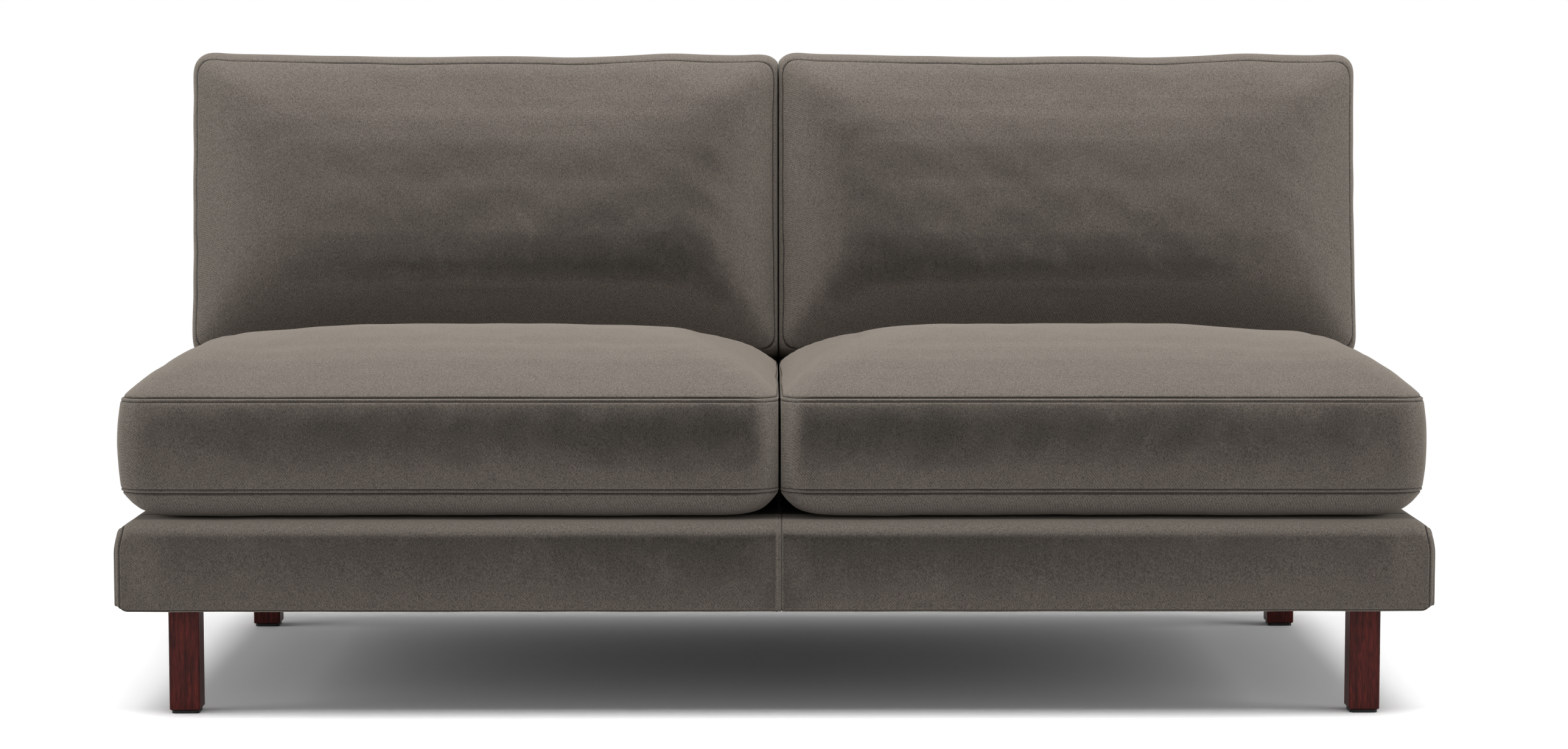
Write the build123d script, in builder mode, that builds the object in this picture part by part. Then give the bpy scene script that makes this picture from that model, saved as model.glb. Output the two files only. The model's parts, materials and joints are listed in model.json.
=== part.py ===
from build123d import *
import os
from math import cos, radians, sin, tan

# An armless sofa for two: a velvet-covered base on four square legs, a fixed padded back, two loose
# crowned seat cushions and two loose boxed back cushions that stand on them.
# Millimetres. X runs to the right as one faces the sofa, Y from front to back, Z up from the floor.
# The origin lies on the floor, under the middle of the base.

# ---- Overall ----
WIDTH = 1830.0  # across the covered base
DEPTH = 965.0  # front of the base to the outside back
FLOOR_GAP = 154.0  # floor to the underside of the base
BASE_HEIGHT = 126.0  # underside of the base to the deck
BACK_TOP = 800.0  # floor to the top of the fixed back
BACK_THICKNESS = 205.5  # of the fixed back, at deck level
RAKE = 7.0  # lean of the inside back, in degrees

# ---- Upholstery of the base and the back ----
COVER = 2.0  # backed velvet
DUST_COVER = 1.0  # black cambric under the base
PAD = 10.0  # foam on the outside of the rails
BACK_PAD = 18.0  # foam on the front and the top of the back
EDGE_ROLL = 24.0  # depth of the foam roll along the edges of the deck
DECK_PAD = 12.5  # foam over the springs
FRONT_ROUND = 24.0  # radius of the base's front top edge
SIDE_ROUND = 28.0  # radius of the base's side top edges
FOOT_ROUND = 8.0  # radius of the base's lower side edges
CORNER_ROUND = 6.0  # radius of the base's upright front corners
CORNER_SEAM = 6.0  # side of the base to the seam on its front
FRONT_SEAM = 9.0  # off-centre place of the sewn seam in the front cover
DECK_RETURN = 95.0  # width of velvet on the deck before the lining starts
UNDER_RETURN = 25.0  # width of velvet turned under the base
BACK_FRONT_ROUND = 18.0  # radii of the back's top edges
BACK_REAR_ROUND = 12.0

# ---- Hardwood frame ----
RAIL = 32.0  # thickness of rails and posts
BACK_RAIL = 22.0  # thickness of the two long back rails
LOWER_RAIL_LIFT = 12.0  # deck to the underside of the lower back rail
LOWER_RAIL_WIDTH = 68.0
SPRING_RAIL_SETBACK = 9.0  # foot of the inside back to the rail that holds the springs
SPRING_RAIL_HEIGHT = 70.0
STRETCHER_HEIGHT = 72.0
BLOCK = 100.0  # sides of a corner block
BLOCK_HEIGHT = 45.0
BLOCK_CHAMFER = 45.0

# ---- Sinuous springs, clips and webbing ----
WIRE = 4.0
SPRINGS = 8
SPRING_WIDTH = 52.0
SPRING_TURNS = 12
SPRING_CORNER = 12.0
CLIP_STEEL = 1.5
CLIP_LENGTH = 13.0  # along the rail's thickness
CLIP_WIDTH = 22.0
WEBS = 6
WEB_WIDTH = 60.0
WEB_STEP = 2.0  # webbing thickness

# ---- Legs, glides and their fasteners ----
LEG = 43.0  # side of a square leg
LEG_INSET_SIDE = 61.5
LEG_INSET_FRONT = 65.0
LEG_INSET_REAR = 62.0
LEG_CHAMFER = 1.5
GLIDE = 38.0  # side of a glide
GLIDE_NECK = 34.0
GLIDE_HEIGHT = 5.0
GLIDE_NECK_HEIGHT = 1.0
GLIDE_CORNER = 4.0
BOLT_RADIUS = 4.0
BOLT_IN_LEG = 42.0
BOLT_PROUD = 2.0  # bolt end above its tee nut
TEE_BARREL_RADIUS = 5.5
TEE_BARREL_LENGTH = 14.0
TEE_FLANGE_SIDE = 20.0
TEE_FLANGE = 1.6
GLIDE_PIN_RADIUS = 1.6  # the nail moulded into a glide
GLIDE_PIN_LENGTH = 20.0

# ---- Cushions, common ----
REST_GAP = 0.3  # cushion to what it rests on
CUSHION_SHY = 7.0  # side of the base to the side of the right-hand cushions
CUSHION_SPLIT = 6.5  # off-centre place of the gap between the two of a pair
SPLIT_GAP = 1.0
BULGE = 5.0  # boxing beyond its seams
DRAW_IN = 4.0  # how far a long seam is drawn in between two corners
CORNER_GROWTH = 0.2  # how fast a corner opens as an outline draws in up a crown
CORNER_LIMIT = 0.45  # largest share of a side that one corner takes
CORNER_CHORDS = 5  # flats round a corner
CROWN_STEPS = 8  # flats up a crown
CROWN_STEEPNESS = 4  # the higher, the more of a crown's height lies close to its seam
UNDER_STEPS = 5  # flats up the crown of a hidden side
BOXING_STEPS = 4  # flats up a boxing

# ---- Seat cushions ----
SEAT_CORNER = 42.0
SEAT_UNDER = 38.0  # deck to the lower seam
SEAT_UNDER_RUN = 50.0  # how far in from the lower seam the cushion meets the deck
SEAT_BOXING = 133.0  # lower seam to upper seam
SEAT_CROWN = 84.0  # upper seam to the peak of the crown
SEAT_PEAK_SETBACK = 292.0  # front of the cushion to the peak
SEAT_SIDE_RUN = 240.0  # how far in from a side the crown is full
SEAT_REAR_RUN = 90.0
SEAT_GAP_BEHIND = 1.0
SEAT_CORE_HEIGHT = 125.0
SEAT_CORE_LIFT = 15.0  # underside of the cushion to the foam
CORE_INSET = 40.0
CORE_CHAMFER = 20.0

# ---- Back cushions ----
BACK_CORNER = 26.0
BACK_HEIGHT = 466.0  # height of a cushion along the inside back
BEARING_PITCH = 12.0  # fall to the rear of the face on which the cushion stands, in degrees
BEARING_PRESS = 4.0  # how much of the foot's roundness is pressed flat
BACK_REAR_CROWN = 20.0
BACK_REAR_RUN = 60.0
BACK_BOXING = 155.0
BACK_FRONT_CROWN = 45.0
BACK_FRONT_RUN = 170.0
BACK_CORE_THICKNESS = 130.0

# ---- Worked out from the sizes above ----
BASE_BOTTOM = FLOOR_GAP
DECK = BASE_BOTTOM + BASE_HEIGHT
FRONT_Y = -DEPTH / 2
REAR_Y = DEPTH / 2
BACK_Y = REAR_Y - BACK_THICKNESS  # foot of the inside back
RAIL_BOTTOM = BASE_BOTTOM + COVER
RAIL_SIDE = WIDTH / 2 - COVER - PAD  # outer face of the side rails
RAIL_FRONT = FRONT_Y + COVER + PAD  # outer face of the front rail
REAR_RAIL_OUTER = REAR_Y - COVER  # outer face of the rear rail
DECK_PAD_TOP = DECK - COVER
DECK_PAD_BOTTOM = DECK_PAD_TOP - DECK_PAD
SPRING_TOP = DECK_PAD_BOTTOM - CLIP_STEEL
RAIL_TOP = SPRING_TOP - WIRE - CLIP_STEEL
ROLL_END = FRONT_Y + COVER + EDGE_ROLL  # inner face of the front edge roll
BORDER_BOTTOM = DECK - SIDE_ROUND  # where the base's side stops being upright
WOOD_INSET = COVER + BACK_PAD + WEB_STEP  # inside back to the front of the posts
TOP_RAIL_TOP = BACK_TOP - COVER - BACK_PAD
POST_TOP = TOP_RAIL_TOP - BACK_RAIL
SPRING_RAIL_FRONT = BACK_Y + SPRING_RAIL_SETBACK
POST_FOOT = SPRING_RAIL_FRONT + RAIL
LEG_X = WIDTH / 2 - LEG_INSET_SIDE - LEG / 2
LEG_FRONT_Y = FRONT_Y + LEG_INSET_FRONT + LEG / 2
LEG_REAR_Y = REAR_Y - LEG_INSET_REAR - LEG / 2
LEG_PLACES = {
    "front_left": (-LEG_X, LEG_FRONT_Y),
    "front_right": (LEG_X, LEG_FRONT_Y),
    "rear_left": (-LEG_X, LEG_REAR_Y),
    "rear_right": (LEG_X, LEG_REAR_Y),
}
SIDES = {"left": -1, "right": 1}
TALL = DEPTH + WIDTH  # reach of a cutting shape that has to pass right through
rake, pitch = radians(RAKE), radians(BEARING_PITCH)

# The inside back: local X across the sofa, local Y up the slope, local Z out towards the sitter.
INSIDE_BACK = Plane(origin=(0, BACK_Y, DECK), x_dir=(1, 0, 0), z_dir=(0, -cos(rake), sin(rake)))

# The bearing: from its peak a seat cushion falls rearward in this plane, and a back cushion stands on it.
PEAK_Y = FRONT_Y + SEAT_PEAK_SETBACK
PEAK_Z = DECK + REST_GAP + SEAT_UNDER + SEAT_BOXING + SEAT_CROWN
BEARING = Plane(origin=(0, PEAK_Y, PEAK_Z), x_dir=(1, 0, 0), z_dir=(0, sin(pitch), cos(pitch)))

os.makedirs("parts", exist_ok=True)


def save(name, piece):
    """Label a finished piece and write it to its own file."""
    piece.label = name
    export_step(piece, f"parts/{name}.step")


def slab(x_span, y_span, z_span):
    """A plain board or block between two limits on each axis."""
    with BuildPart() as board:
        with BuildSketch(Plane.XY.offset(z_span[0])):
            with Locations(((x_span[0] + x_span[1]) / 2, (y_span[0] + y_span[1]) / 2)):
                Rectangle(x_span[1] - x_span[0], y_span[1] - y_span[0])
        extrude(amount=z_span[1] - z_span[0])
    return board.part


def prism(points, z_span=(-TALL, TALL)):
    """An upright prism on a plan outline."""
    with BuildPart() as block:
        with BuildSketch(Plane.XY.offset(z_span[0])):
            with BuildLine():
                Polyline(*points, close=True)
            make_face()
        extrude(amount=z_span[1] - z_span[0])
    return block.part


def across(points, x_span):
    """A side-view outline, as (y, z) points, carried across the sofa."""
    with BuildPart() as board:
        with BuildSketch(Plane.YZ.offset(x_span[0])):
            with BuildLine():
                Polyline(*points, close=True)
            make_face()
        extrude(amount=x_span[1] - x_span[0])
    return board.part


def inside_back_y(z, inset):
    """Depth of the raked face at a height, inset into the back by a distance square to that face."""
    return BACK_Y + (z - DECK) * tan(rake) + inset / cos(rake)


# ---------------------------------------------------------------- envelopes of the upholstered forms
def base_block(inset):
    """The upholstered base, drawn in all round by inset, with its rounded front and side edges."""
    middle = (BASE_BOTTOM + DECK) / 2
    with BuildPart() as block:
        with BuildSketch(Plane.XZ) as front_view:
            with Locations((0, middle)):
                Rectangle(WIDTH - 2 * inset, BASE_HEIGHT - 2 * inset)
            fillet(front_view.vertices().group_by(Axis.Y)[-1], SIDE_ROUND - inset)
            fillet(front_view.vertices().group_by(Axis.Y)[0], FOOT_ROUND - inset)
        extrude(amount=DEPTH / 2 - inset, both=True)
        with BuildSketch(Plane.YZ) as side_view:
            with Locations((0, middle)):
                Rectangle(DEPTH, BASE_HEIGHT)
            with Locations((inset, middle)):
                Rectangle(DEPTH, BASE_HEIGHT - 2 * inset, mode=Mode.INTERSECT)
            top_front = side_view.vertices().group_by(Axis.Y)[-1].sort_by(Axis.X)[0]
            fillet(top_front, FRONT_ROUND - inset)
        extrude(amount=WIDTH, both=True, mode=Mode.INTERSECT)
        with BuildSketch(Plane.XY) as plan_view:
            Rectangle(WIDTH - 2 * inset, DEPTH)
            fillet(plan_view.vertices().group_by(Axis.Y)[0], CORNER_ROUND - inset)
            with Locations((0, inset)):
                Rectangle(WIDTH, DEPTH, mode=Mode.INTERSECT)
        extrude(amount=DECK, mode=Mode.INTERSECT)
    return block.part


def back_outline(insets, bottom):
    """The fixed back in side view, drawn in by (front, top, rear) insets, as (y, z) points."""
    front, top, rear = insets
    top_z = BACK_TOP - top
    return (
        (inside_back_y(bottom, front), bottom),
        (REAR_Y - rear, bottom),
        (REAR_Y - rear, top_z),
        (inside_back_y(top_z, front), top_z),
    )


def back_block(x_span, inset, bottom):
    """The fixed back between two sides, drawn in by inset, with its rounded top edges."""
    with BuildPart() as block:
        with BuildSketch(Plane.YZ.offset(x_span[0])) as side_view:
            with BuildLine():
                Polyline(*back_outline((inset, inset, inset), bottom), close=True)
            make_face()
            tops = side_view.vertices().group_by(Axis.Y)[-1].sort_by(Axis.X)
            fillet(tops[0], BACK_FRONT_ROUND - inset)
            fillet(tops[-1], BACK_REAR_ROUND - inset)
        extrude(amount=x_span[1] - x_span[0])
    return block.part


OUTER_BASE = base_block(0)
PAD_BASE = base_block(COVER)
OUTER_BACK = back_block((-WIDTH / 2, WIDTH / 2), 0, BORDER_BOTTOM)


# ---------------------------------------------------------------- fasteners
BLOCK_TOP = RAIL_BOTTOM + BLOCK_HEIGHT
with BuildPart() as leg_bolts:
    with BuildSketch(Plane.XY.offset(RAIL_BOTTOM - BOLT_IN_LEG)):
        with Locations(*LEG_PLACES.values()):
            Circle(BOLT_RADIUS)
    extrude(amount=BLOCK_TOP + TEE_FLANGE + BOLT_PROUD - RAIL_BOTTOM + BOLT_IN_LEG)
save("leg_bolts", leg_bolts.part)

with BuildPart() as leg_tee_nuts:
    with BuildSketch(Plane.XY.offset(BLOCK_TOP)):
        with Locations(*LEG_PLACES.values()):
            Rectangle(TEE_FLANGE_SIDE, TEE_FLANGE_SIDE)
    extrude(amount=TEE_FLANGE)
    with BuildSketch(Plane.XY.offset(BLOCK_TOP)):
        with Locations(*LEG_PLACES.values()):
            Circle(TEE_BARREL_RADIUS)
    extrude(amount=-TEE_BARREL_LENGTH)
    add(leg_bolts.part, mode=Mode.SUBTRACT)
save("leg_tee_nuts", leg_tee_nuts.part)

# ---------------------------------------------------------------- legs and glides
def glide_plate(centre, side, z_span):
    """A square plate with cut corners, centred under a leg."""
    with BuildPart() as plate:
        with BuildSketch(Plane.XY.offset(z_span[0])) as outline:
            with Locations(centre):
                Rectangle(side, side)
            chamfer(outline.vertices(), GLIDE_CORNER)
        extrude(amount=z_span[1] - z_span[0])
    return plate.part


for place, (x, y) in LEG_PLACES.items():
    with BuildPart() as glide:
        add(glide_plate((x, y), GLIDE, (0, GLIDE_HEIGHT - GLIDE_NECK_HEIGHT)))
        add(glide_plate((x, y), GLIDE_NECK, (GLIDE_HEIGHT - GLIDE_NECK_HEIGHT, GLIDE_HEIGHT)))
        with BuildSketch(Plane.XY.offset(GLIDE_HEIGHT)):
            with Locations((x, y)):
                Circle(GLIDE_PIN_RADIUS)
        extrude(amount=GLIDE_PIN_LENGTH)
    save(f"glide_{place}", glide.part)

    with BuildPart() as leg:
        with BuildSketch(Plane.XY.offset(GLIDE_HEIGHT)):
            with Locations((x, y)):
                Rectangle(LEG, LEG)
        extrude(amount=RAIL_BOTTOM - GLIDE_HEIGHT)
        chamfer(leg.edges().filter_by(Axis.Z), LEG_CHAMFER)
        chamfer(leg.faces().sort_by(Axis.Z)[0].edges(), LEG_CHAMFER)
        add(leg_bolts.part, mode=Mode.SUBTRACT)
        add(glide.part, mode=Mode.SUBTRACT)
    save(f"leg_{place}", leg.part)

# ---------------------------------------------------------------- base frame
INNER_X = RAIL_SIDE - RAIL  # inner faces of the side rails
REAR_RAIL_INNER = REAR_RAIL_OUTER - RAIL

FRONT_RAIL_INNER = RAIL_FRONT + RAIL
rail_heights = (RAIL_BOTTOM, RAIL_TOP)

with BuildPart() as front_rail:
    add(slab((-RAIL_SIDE, RAIL_SIDE), (RAIL_FRONT, FRONT_RAIL_INNER), rail_heights))
save("front_rail", front_rail.part)

with BuildPart() as rear_rail:
    add(slab((-RAIL_SIDE, RAIL_SIDE), (REAR_RAIL_INNER, REAR_RAIL_OUTER), rail_heights))
save("rear_rail", rear_rail.part)

for name, side in SIDES.items():
    with BuildPart() as side_rail:
        add(slab(sorted((side * INNER_X, side * RAIL_SIDE)), (FRONT_RAIL_INNER, POST_FOOT), rail_heights))
    save(f"side_rail_{name}", side_rail.part)

SPRING_RAIL_BOTTOM = RAIL_TOP - SPRING_RAIL_HEIGHT
with BuildPart() as spring_rail:
    add(slab((-INNER_X, INNER_X), (SPRING_RAIL_FRONT, POST_FOOT), (SPRING_RAIL_BOTTOM, RAIL_TOP)))
save("spring_rail", spring_rail.part)

STRETCHER_TOP = RAIL_BOTTOM + STRETCHER_HEIGHT
with BuildPart() as centre_stretcher:
    profile = (
        (FRONT_RAIL_INNER, RAIL_BOTTOM),
        (POST_FOOT, RAIL_BOTTOM),
        (POST_FOOT, SPRING_RAIL_BOTTOM),
        (SPRING_RAIL_FRONT, SPRING_RAIL_BOTTOM),
        (SPRING_RAIL_FRONT, STRETCHER_TOP),
        (FRONT_RAIL_INNER, STRETCHER_TOP),
    )
    add(across(profile, (-RAIL / 2, RAIL / 2)))
save("centre_stretcher", centre_stretcher.part)

with BuildPart() as corner_blocks:
    for place in LEG_PLACES:
        to_side = -1 if "left" in place else 1
        to_end = -1 if "front" in place else 1
        x, y = to_side * INNER_X, (FRONT_RAIL_INNER if "front" in place else REAR_RAIL_INNER)
        with BuildSketch(Plane.XY.offset(RAIL_BOTTOM)):
            with BuildLine():
                Polyline(
                    (x, y),
                    (x - to_side * BLOCK, y),
                    (x - to_side * BLOCK, y - to_end * (BLOCK - BLOCK_CHAMFER)),
                    (x - to_side * (BLOCK - BLOCK_CHAMFER), y - to_end * BLOCK),
                    (x, y - to_end * BLOCK),
                    close=True,
                )
            make_face()
        extrude(amount=BLOCK_HEIGHT)
    add(leg_tee_nuts.part, mode=Mode.SUBTRACT)
    add(leg_bolts.part, mode=Mode.SUBTRACT)
save("corner_blocks", corner_blocks.part)

# ---------------------------------------------------------------- back frame
with BuildPart() as lower_back_rail:
    with BuildSketch(INSIDE_BACK.offset(-WOOD_INSET)):
        with Locations((0, LOWER_RAIL_LIFT + LOWER_RAIL_WIDTH / 2)):
            Rectangle(2 * INNER_X, LOWER_RAIL_WIDTH)
    extrude(amount=-BACK_RAIL)
save("lower_back_rail", lower_back_rail.part)

with BuildPart() as top_back_rail:
    profile = (
        (inside_back_y(POST_TOP, WOOD_INSET), POST_TOP),
        (REAR_RAIL_OUTER, POST_TOP),
        (REAR_RAIL_OUTER, TOP_RAIL_TOP),
        (inside_back_y(TOP_RAIL_TOP, WOOD_INSET), TOP_RAIL_TOP),
    )
    add(across(profile, (-RAIL_SIDE, RAIL_SIDE)))
save("top_back_rail", top_back_rail.part)

post_profile = (
    (POST_FOOT, RAIL_BOTTOM),
    (REAR_RAIL_INNER, RAIL_BOTTOM),
    (REAR_RAIL_INNER, RAIL_TOP),
    (REAR_RAIL_OUTER, RAIL_TOP),
    (REAR_RAIL_OUTER, POST_TOP),
    (inside_back_y(POST_TOP, WOOD_INSET), POST_TOP),
    (inside_back_y(RAIL_TOP, WOOD_INSET), RAIL_TOP),
    (POST_FOOT, RAIL_TOP),
)
post_spans = {
    "left": (-RAIL_SIDE, -INNER_X),
    "centre": (-RAIL / 2, RAIL / 2),
    "right": (INNER_X, RAIL_SIDE),
}
for name, x_span in post_spans.items():
    with BuildPart() as post:
        add(across(post_profile, x_span))
        add(lower_back_rail.part, mode=Mode.SUBTRACT)
    save(f"back_post_{name}", post.part)

with BuildPart() as back_webbing:
    web_low = LOWER_RAIL_LIFT
    web_high = (TOP_RAIL_TOP - DECK) / cos(rake)
    with BuildSketch(INSIDE_BACK.offset(-WOOD_INSET)):
        with Locations((0, (web_low + web_high) / 2)):
            with GridLocations(2 * INNER_X / WEBS, 1, WEBS, 1):
                Rectangle(WEB_WIDTH, web_high - web_low)
    extrude(amount=WEB_STEP)
    add(slab((-WIDTH, WIDTH), (-DEPTH, DEPTH), (TOP_RAIL_TOP, BACK_TOP)), mode=Mode.SUBTRACT)
save("back_webbing", back_webbing.part)

# ---------------------------------------------------------------- seat springs
FRONT_BAR = (ROLL_END + FRONT_RAIL_INNER) / 2  # the springs' end bars
REAR_BAR = SPRING_RAIL_FRONT + RAIL / 2
SPRING_BOTTOM = SPRING_TOP - WIRE
spring_pitch = (REAR_BAR - FRONT_BAR) / SPRING_TURNS
spring_places = GridLocations(2 * INNER_X / SPRINGS, 1, SPRINGS, 1)


def spring_path():
    """One spring's zigzag, from its front end bar to its rear one."""
    half = SPRING_WIDTH / 2
    points = [(-half, FRONT_BAR)]
    for turn in range(SPRING_TURNS):
        y = FRONT_BAR + turn * spring_pitch
        side = half if turn % 2 == 0 else -half
        shy = side - SPRING_CORNER * (1 if side > 0 else -1)
        points += [(shy, y), (side, y + SPRING_CORNER)]
        points += [(side, y + spring_pitch - SPRING_CORNER), (shy, y + spring_pitch)]
    last = half if SPRING_TURNS % 2 == 0 else -half
    return [Vector(x, y) for x, y in points + [(last, REAR_BAR)]]


def wire_outline(path):
    """Both edges of a bent wire as one closed outline, mitred at each bend."""
    headings = [(ahead - here).normalized() for here, ahead in zip(path, path[1:])]
    square = [Vector(-heading.Y, heading.X) for heading in headings]
    square = [square[0]] + square + [square[-1]]
    left, right = [], []
    for point, before, after in zip(path, square, square[1:]):
        mitre = (before + after) * (WIRE / 2 / (1 + before.dot(after)))
        left.append(point + mitre)
        right.append(point - mitre)
    return left + right[::-1]


with BuildSketch() as spring_outline:
    with BuildLine():
        Polyline(*wire_outline(spring_path()), close=True)
    make_face()
with BuildPart() as seat_springs:
    with BuildSketch(Plane.XY.offset(SPRING_BOTTOM)):
        with spring_places:
            add(spring_outline.sketch)
    extrude(amount=WIRE)
save("seat_springs", seat_springs.part)


def clip_profile(bar_y, rearward):
    """A folded clip in side view: a plate on the rail and a flap over the spring's end bar."""
    outer = bar_y + rearward * CLIP_LENGTH / 2
    inner = bar_y - rearward * CLIP_LENGTH / 2
    fold = outer - rearward * CLIP_STEEL
    return (
        (inner, RAIL_TOP),
        (outer, RAIL_TOP),
        (outer, DECK_PAD_BOTTOM),
        (inner, DECK_PAD_BOTTOM),
        (inner, SPRING_TOP),
        (fold, SPRING_TOP),
        (fold, RAIL_TOP + CLIP_STEEL),
        (inner, RAIL_TOP + CLIP_STEEL),
    )


with BuildPart() as spring_clips:
    clip_span = (-CLIP_WIDTH / 2, CLIP_WIDTH / 2)
    for bar_y, rearward in ((FRONT_BAR, -1), (REAR_BAR, 1)):
        clip = across(clip_profile(bar_y, rearward), clip_span)
        with spring_places:
            add(clip)
save("spring_clips", spring_clips.part)

# ---------------------------------------------------------------- padding
with BuildPart() as front_pad:
    profile = (
        (FRONT_Y, RAIL_BOTTOM),
        (RAIL_FRONT, RAIL_BOTTOM),
        (RAIL_FRONT, RAIL_TOP),
        (ROLL_END, RAIL_TOP),
        (ROLL_END, DECK),
        (FRONT_Y, DECK),
    )
    add(across(profile, (-WIDTH / 2, WIDTH / 2)))
    add(PAD_BASE, mode=Mode.INTERSECT)
save("front_pad", front_pad.part)

for name, side in SIDES.items():
    outer = WIDTH / 2 - COVER
    roll_end = outer - EDGE_ROLL
    with BuildPart() as side_pad:
        add(slab(sorted((side * RAIL_SIDE, side * outer)), (FRONT_Y, REAR_Y), (RAIL_BOTTOM, DECK)))
        add(slab(sorted((side * roll_end, side * outer)), (FRONT_Y, BACK_Y), (RAIL_TOP, DECK)))
        add(PAD_BASE, mode=Mode.INTERSECT)
        add(front_pad.part, mode=Mode.SUBTRACT)
        add(OUTER_BACK, mode=Mode.SUBTRACT)
        add(back_block(sorted((side * RAIL_SIDE, side * outer)), COVER, BORDER_BOTTOM))
    save(f"side_pad_{name}", side_pad.part)

DECK_PAD_SIDE = WIDTH / 2 - COVER - EDGE_ROLL
with BuildPart() as deck_pad:
    add(slab((-DECK_PAD_SIDE, DECK_PAD_SIDE), (ROLL_END, REAR_Y), (DECK_PAD_BOTTOM, DECK_PAD_TOP)))
    add(PAD_BASE, mode=Mode.INTERSECT)
    add(OUTER_BACK, mode=Mode.SUBTRACT)
save("deck_pad", deck_pad.part)

with BuildPart() as back_pad:
    pad_inset = COVER + BACK_PAD
    span = (-RAIL_SIDE, RAIL_SIDE)
    add(back_block(span, COVER, DECK_PAD_BOTTOM))
    add(across(back_outline((pad_inset, pad_inset, 0), DECK_PAD_BOTTOM), span), mode=Mode.SUBTRACT)
save("back_pad", back_pad.part)

# ---------------------------------------------------------------- fixed covers
with BuildPart() as base_skin:
    add(OUTER_BASE)
    add(PAD_BASE, mode=Mode.SUBTRACT)
    bare_x, bare_y = WIDTH / 2 - UNDER_RETURN, DEPTH / 2 - UNDER_RETURN
    add(slab((-bare_x, bare_x), (-bare_y, bare_y), (0, RAIL_BOTTOM)), mode=Mode.SUBTRACT)

SEAM_X = WIDTH / 2 - CORNER_SEAM
LINING_X = SEAM_X - DECK_RETURN  # edges of the deck's lining
LINING_Y = FRONT_Y + DECK_RETURN
PANEL_X = WIDTH / 2 - COVER  # inner face of the side panels
for name, side in SIDES.items():
    with BuildPart() as front_cover:
        add(base_skin.part)
        outline = (
            (side * SEAM_X, -TALL),
            (side * SEAM_X, LINING_Y),
            (FRONT_SEAM, LINING_Y),
            (FRONT_SEAM, -TALL),
        )
        add(prism(outline), mode=Mode.INTERSECT)
    save(f"front_cover_{name}", front_cover.part)

    with BuildPart() as side_cover:
        add(base_skin.part)
        outline = (
            (side * TALL, -TALL),
            (side * SEAM_X, -TALL),
            (side * SEAM_X, LINING_Y),
            (side * LINING_X, LINING_Y),
            (side * LINING_X, REAR_Y - UNDER_RETURN),
            (side * PANEL_X, REAR_Y - UNDER_RETURN),
            (side * PANEL_X, REAR_Y),
            (side * TALL, REAR_Y),
        )
        add(prism(outline), mode=Mode.INTERSECT)
        add(OUTER_BACK, mode=Mode.SUBTRACT)
    save(f"side_cover_{name}", side_cover.part)

    with BuildPart() as back_border:
        add(back_block(sorted((side * PANEL_X, side * WIDTH / 2)), 0, BORDER_BOTTOM))
    save(f"back_border_{name}", back_border.part)

with BuildPart() as deck_cover:
    add(slab((-LINING_X, LINING_X), (LINING_Y, REAR_Y), (DECK_PAD_TOP, DECK)))
    add(OUTER_BACK, mode=Mode.SUBTRACT)
save("deck_cover", deck_cover.part)

REAR_SEAM_Y = REAR_Y - BACK_REAR_ROUND
with BuildPart() as back_skin:
    add(back_block((-PANEL_X, PANEL_X), 0, DECK_PAD_BOTTOM))
    add(back_block((-PANEL_X, PANEL_X), COVER, DECK_PAD_BOTTOM), mode=Mode.SUBTRACT)

with BuildPart() as inside_back_cover:
    add(back_skin.part)
    add(slab((-WIDTH, WIDTH), (REAR_SEAM_Y, TALL), (0, TALL)), mode=Mode.SUBTRACT)
save("inside_back_cover", inside_back_cover.part)

with BuildPart() as outside_back_cover:
    add(back_skin.part)
    add(slab((-WIDTH, WIDTH), (-TALL, REAR_SEAM_Y), (0, TALL)), mode=Mode.SUBTRACT)
    add(slab((-PANEL_X, PANEL_X), (REAR_RAIL_OUTER, REAR_Y), (BASE_BOTTOM, DECK_PAD_BOTTOM)))
    add(slab((-PANEL_X, PANEL_X), (REAR_Y - UNDER_RETURN, REAR_Y), (BASE_BOTTOM, RAIL_BOTTOM)))
save("outside_back_cover", outside_back_cover.part)

with BuildPart() as dust_cover:
    add(slab((-bare_x, bare_x), (-bare_y, bare_y), (RAIL_BOTTOM - DUST_COVER, RAIL_BOTTOM)))
    for x, y in LEG_PLACES.values():
        leg_x, leg_y = (x - LEG / 2, x + LEG / 2), (y - LEG / 2, y + LEG / 2)
        add(slab(leg_x, leg_y, (BASE_BOTTOM, RAIL_BOTTOM)), mode=Mode.SUBTRACT)
save("dust_cover", dust_cover.part)


# ---------------------------------------------------------------- cushions
def pillow_section(plane, x_span, y_span, corner):
    """A cushion's outline on a plane: corners in flats, and sides drawn in a little between them."""
    (x0, x1), (y0, y1) = x_span, y_span
    x_mid, y_mid = (x0 + x1) / 2, (y0 + y1) / 2
    corner = min(corner, CORNER_LIMIT * (x1 - x0), CORNER_LIMIT * (y1 - y0))
    pinch_x = DRAW_SLOPE * (y_mid - y0 - corner)
    pinch_y = DRAW_SLOPE * (x_mid - x0 - corner)
    corners = (
        (x1 - corner, y0 + corner, (x1 - pinch_x, y_mid)),
        (x1 - corner, y1 - corner, (x_mid, y1 - pinch_y)),
        (x0 + corner, y1 - corner, (x0 + pinch_x, y_mid)),
        (x0 + corner, y0 + corner, (x_mid, y0 + pinch_y)),
    )
    points = []
    for quarter, (x, y, side_middle) in enumerate(corners):
        for chord in range(CORNER_CHORDS + 1):
            angle = radians(90 * (quarter - 1 + chord / CORNER_CHORDS))
            points.append((x + corner * cos(angle), y + corner * sin(angle)))
        points.append(side_middle)
    with BuildSketch(plane) as section:
        with BuildLine():
            Polyline(*points, close=True)
        make_face()
    return section.sketch


def crown_runs(steps):
    """Shares of a crown's run from its seam inward, closer together near the seam where it is steep."""
    return [(step / steps) ** 2 for step in range(steps + 1)]


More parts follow.
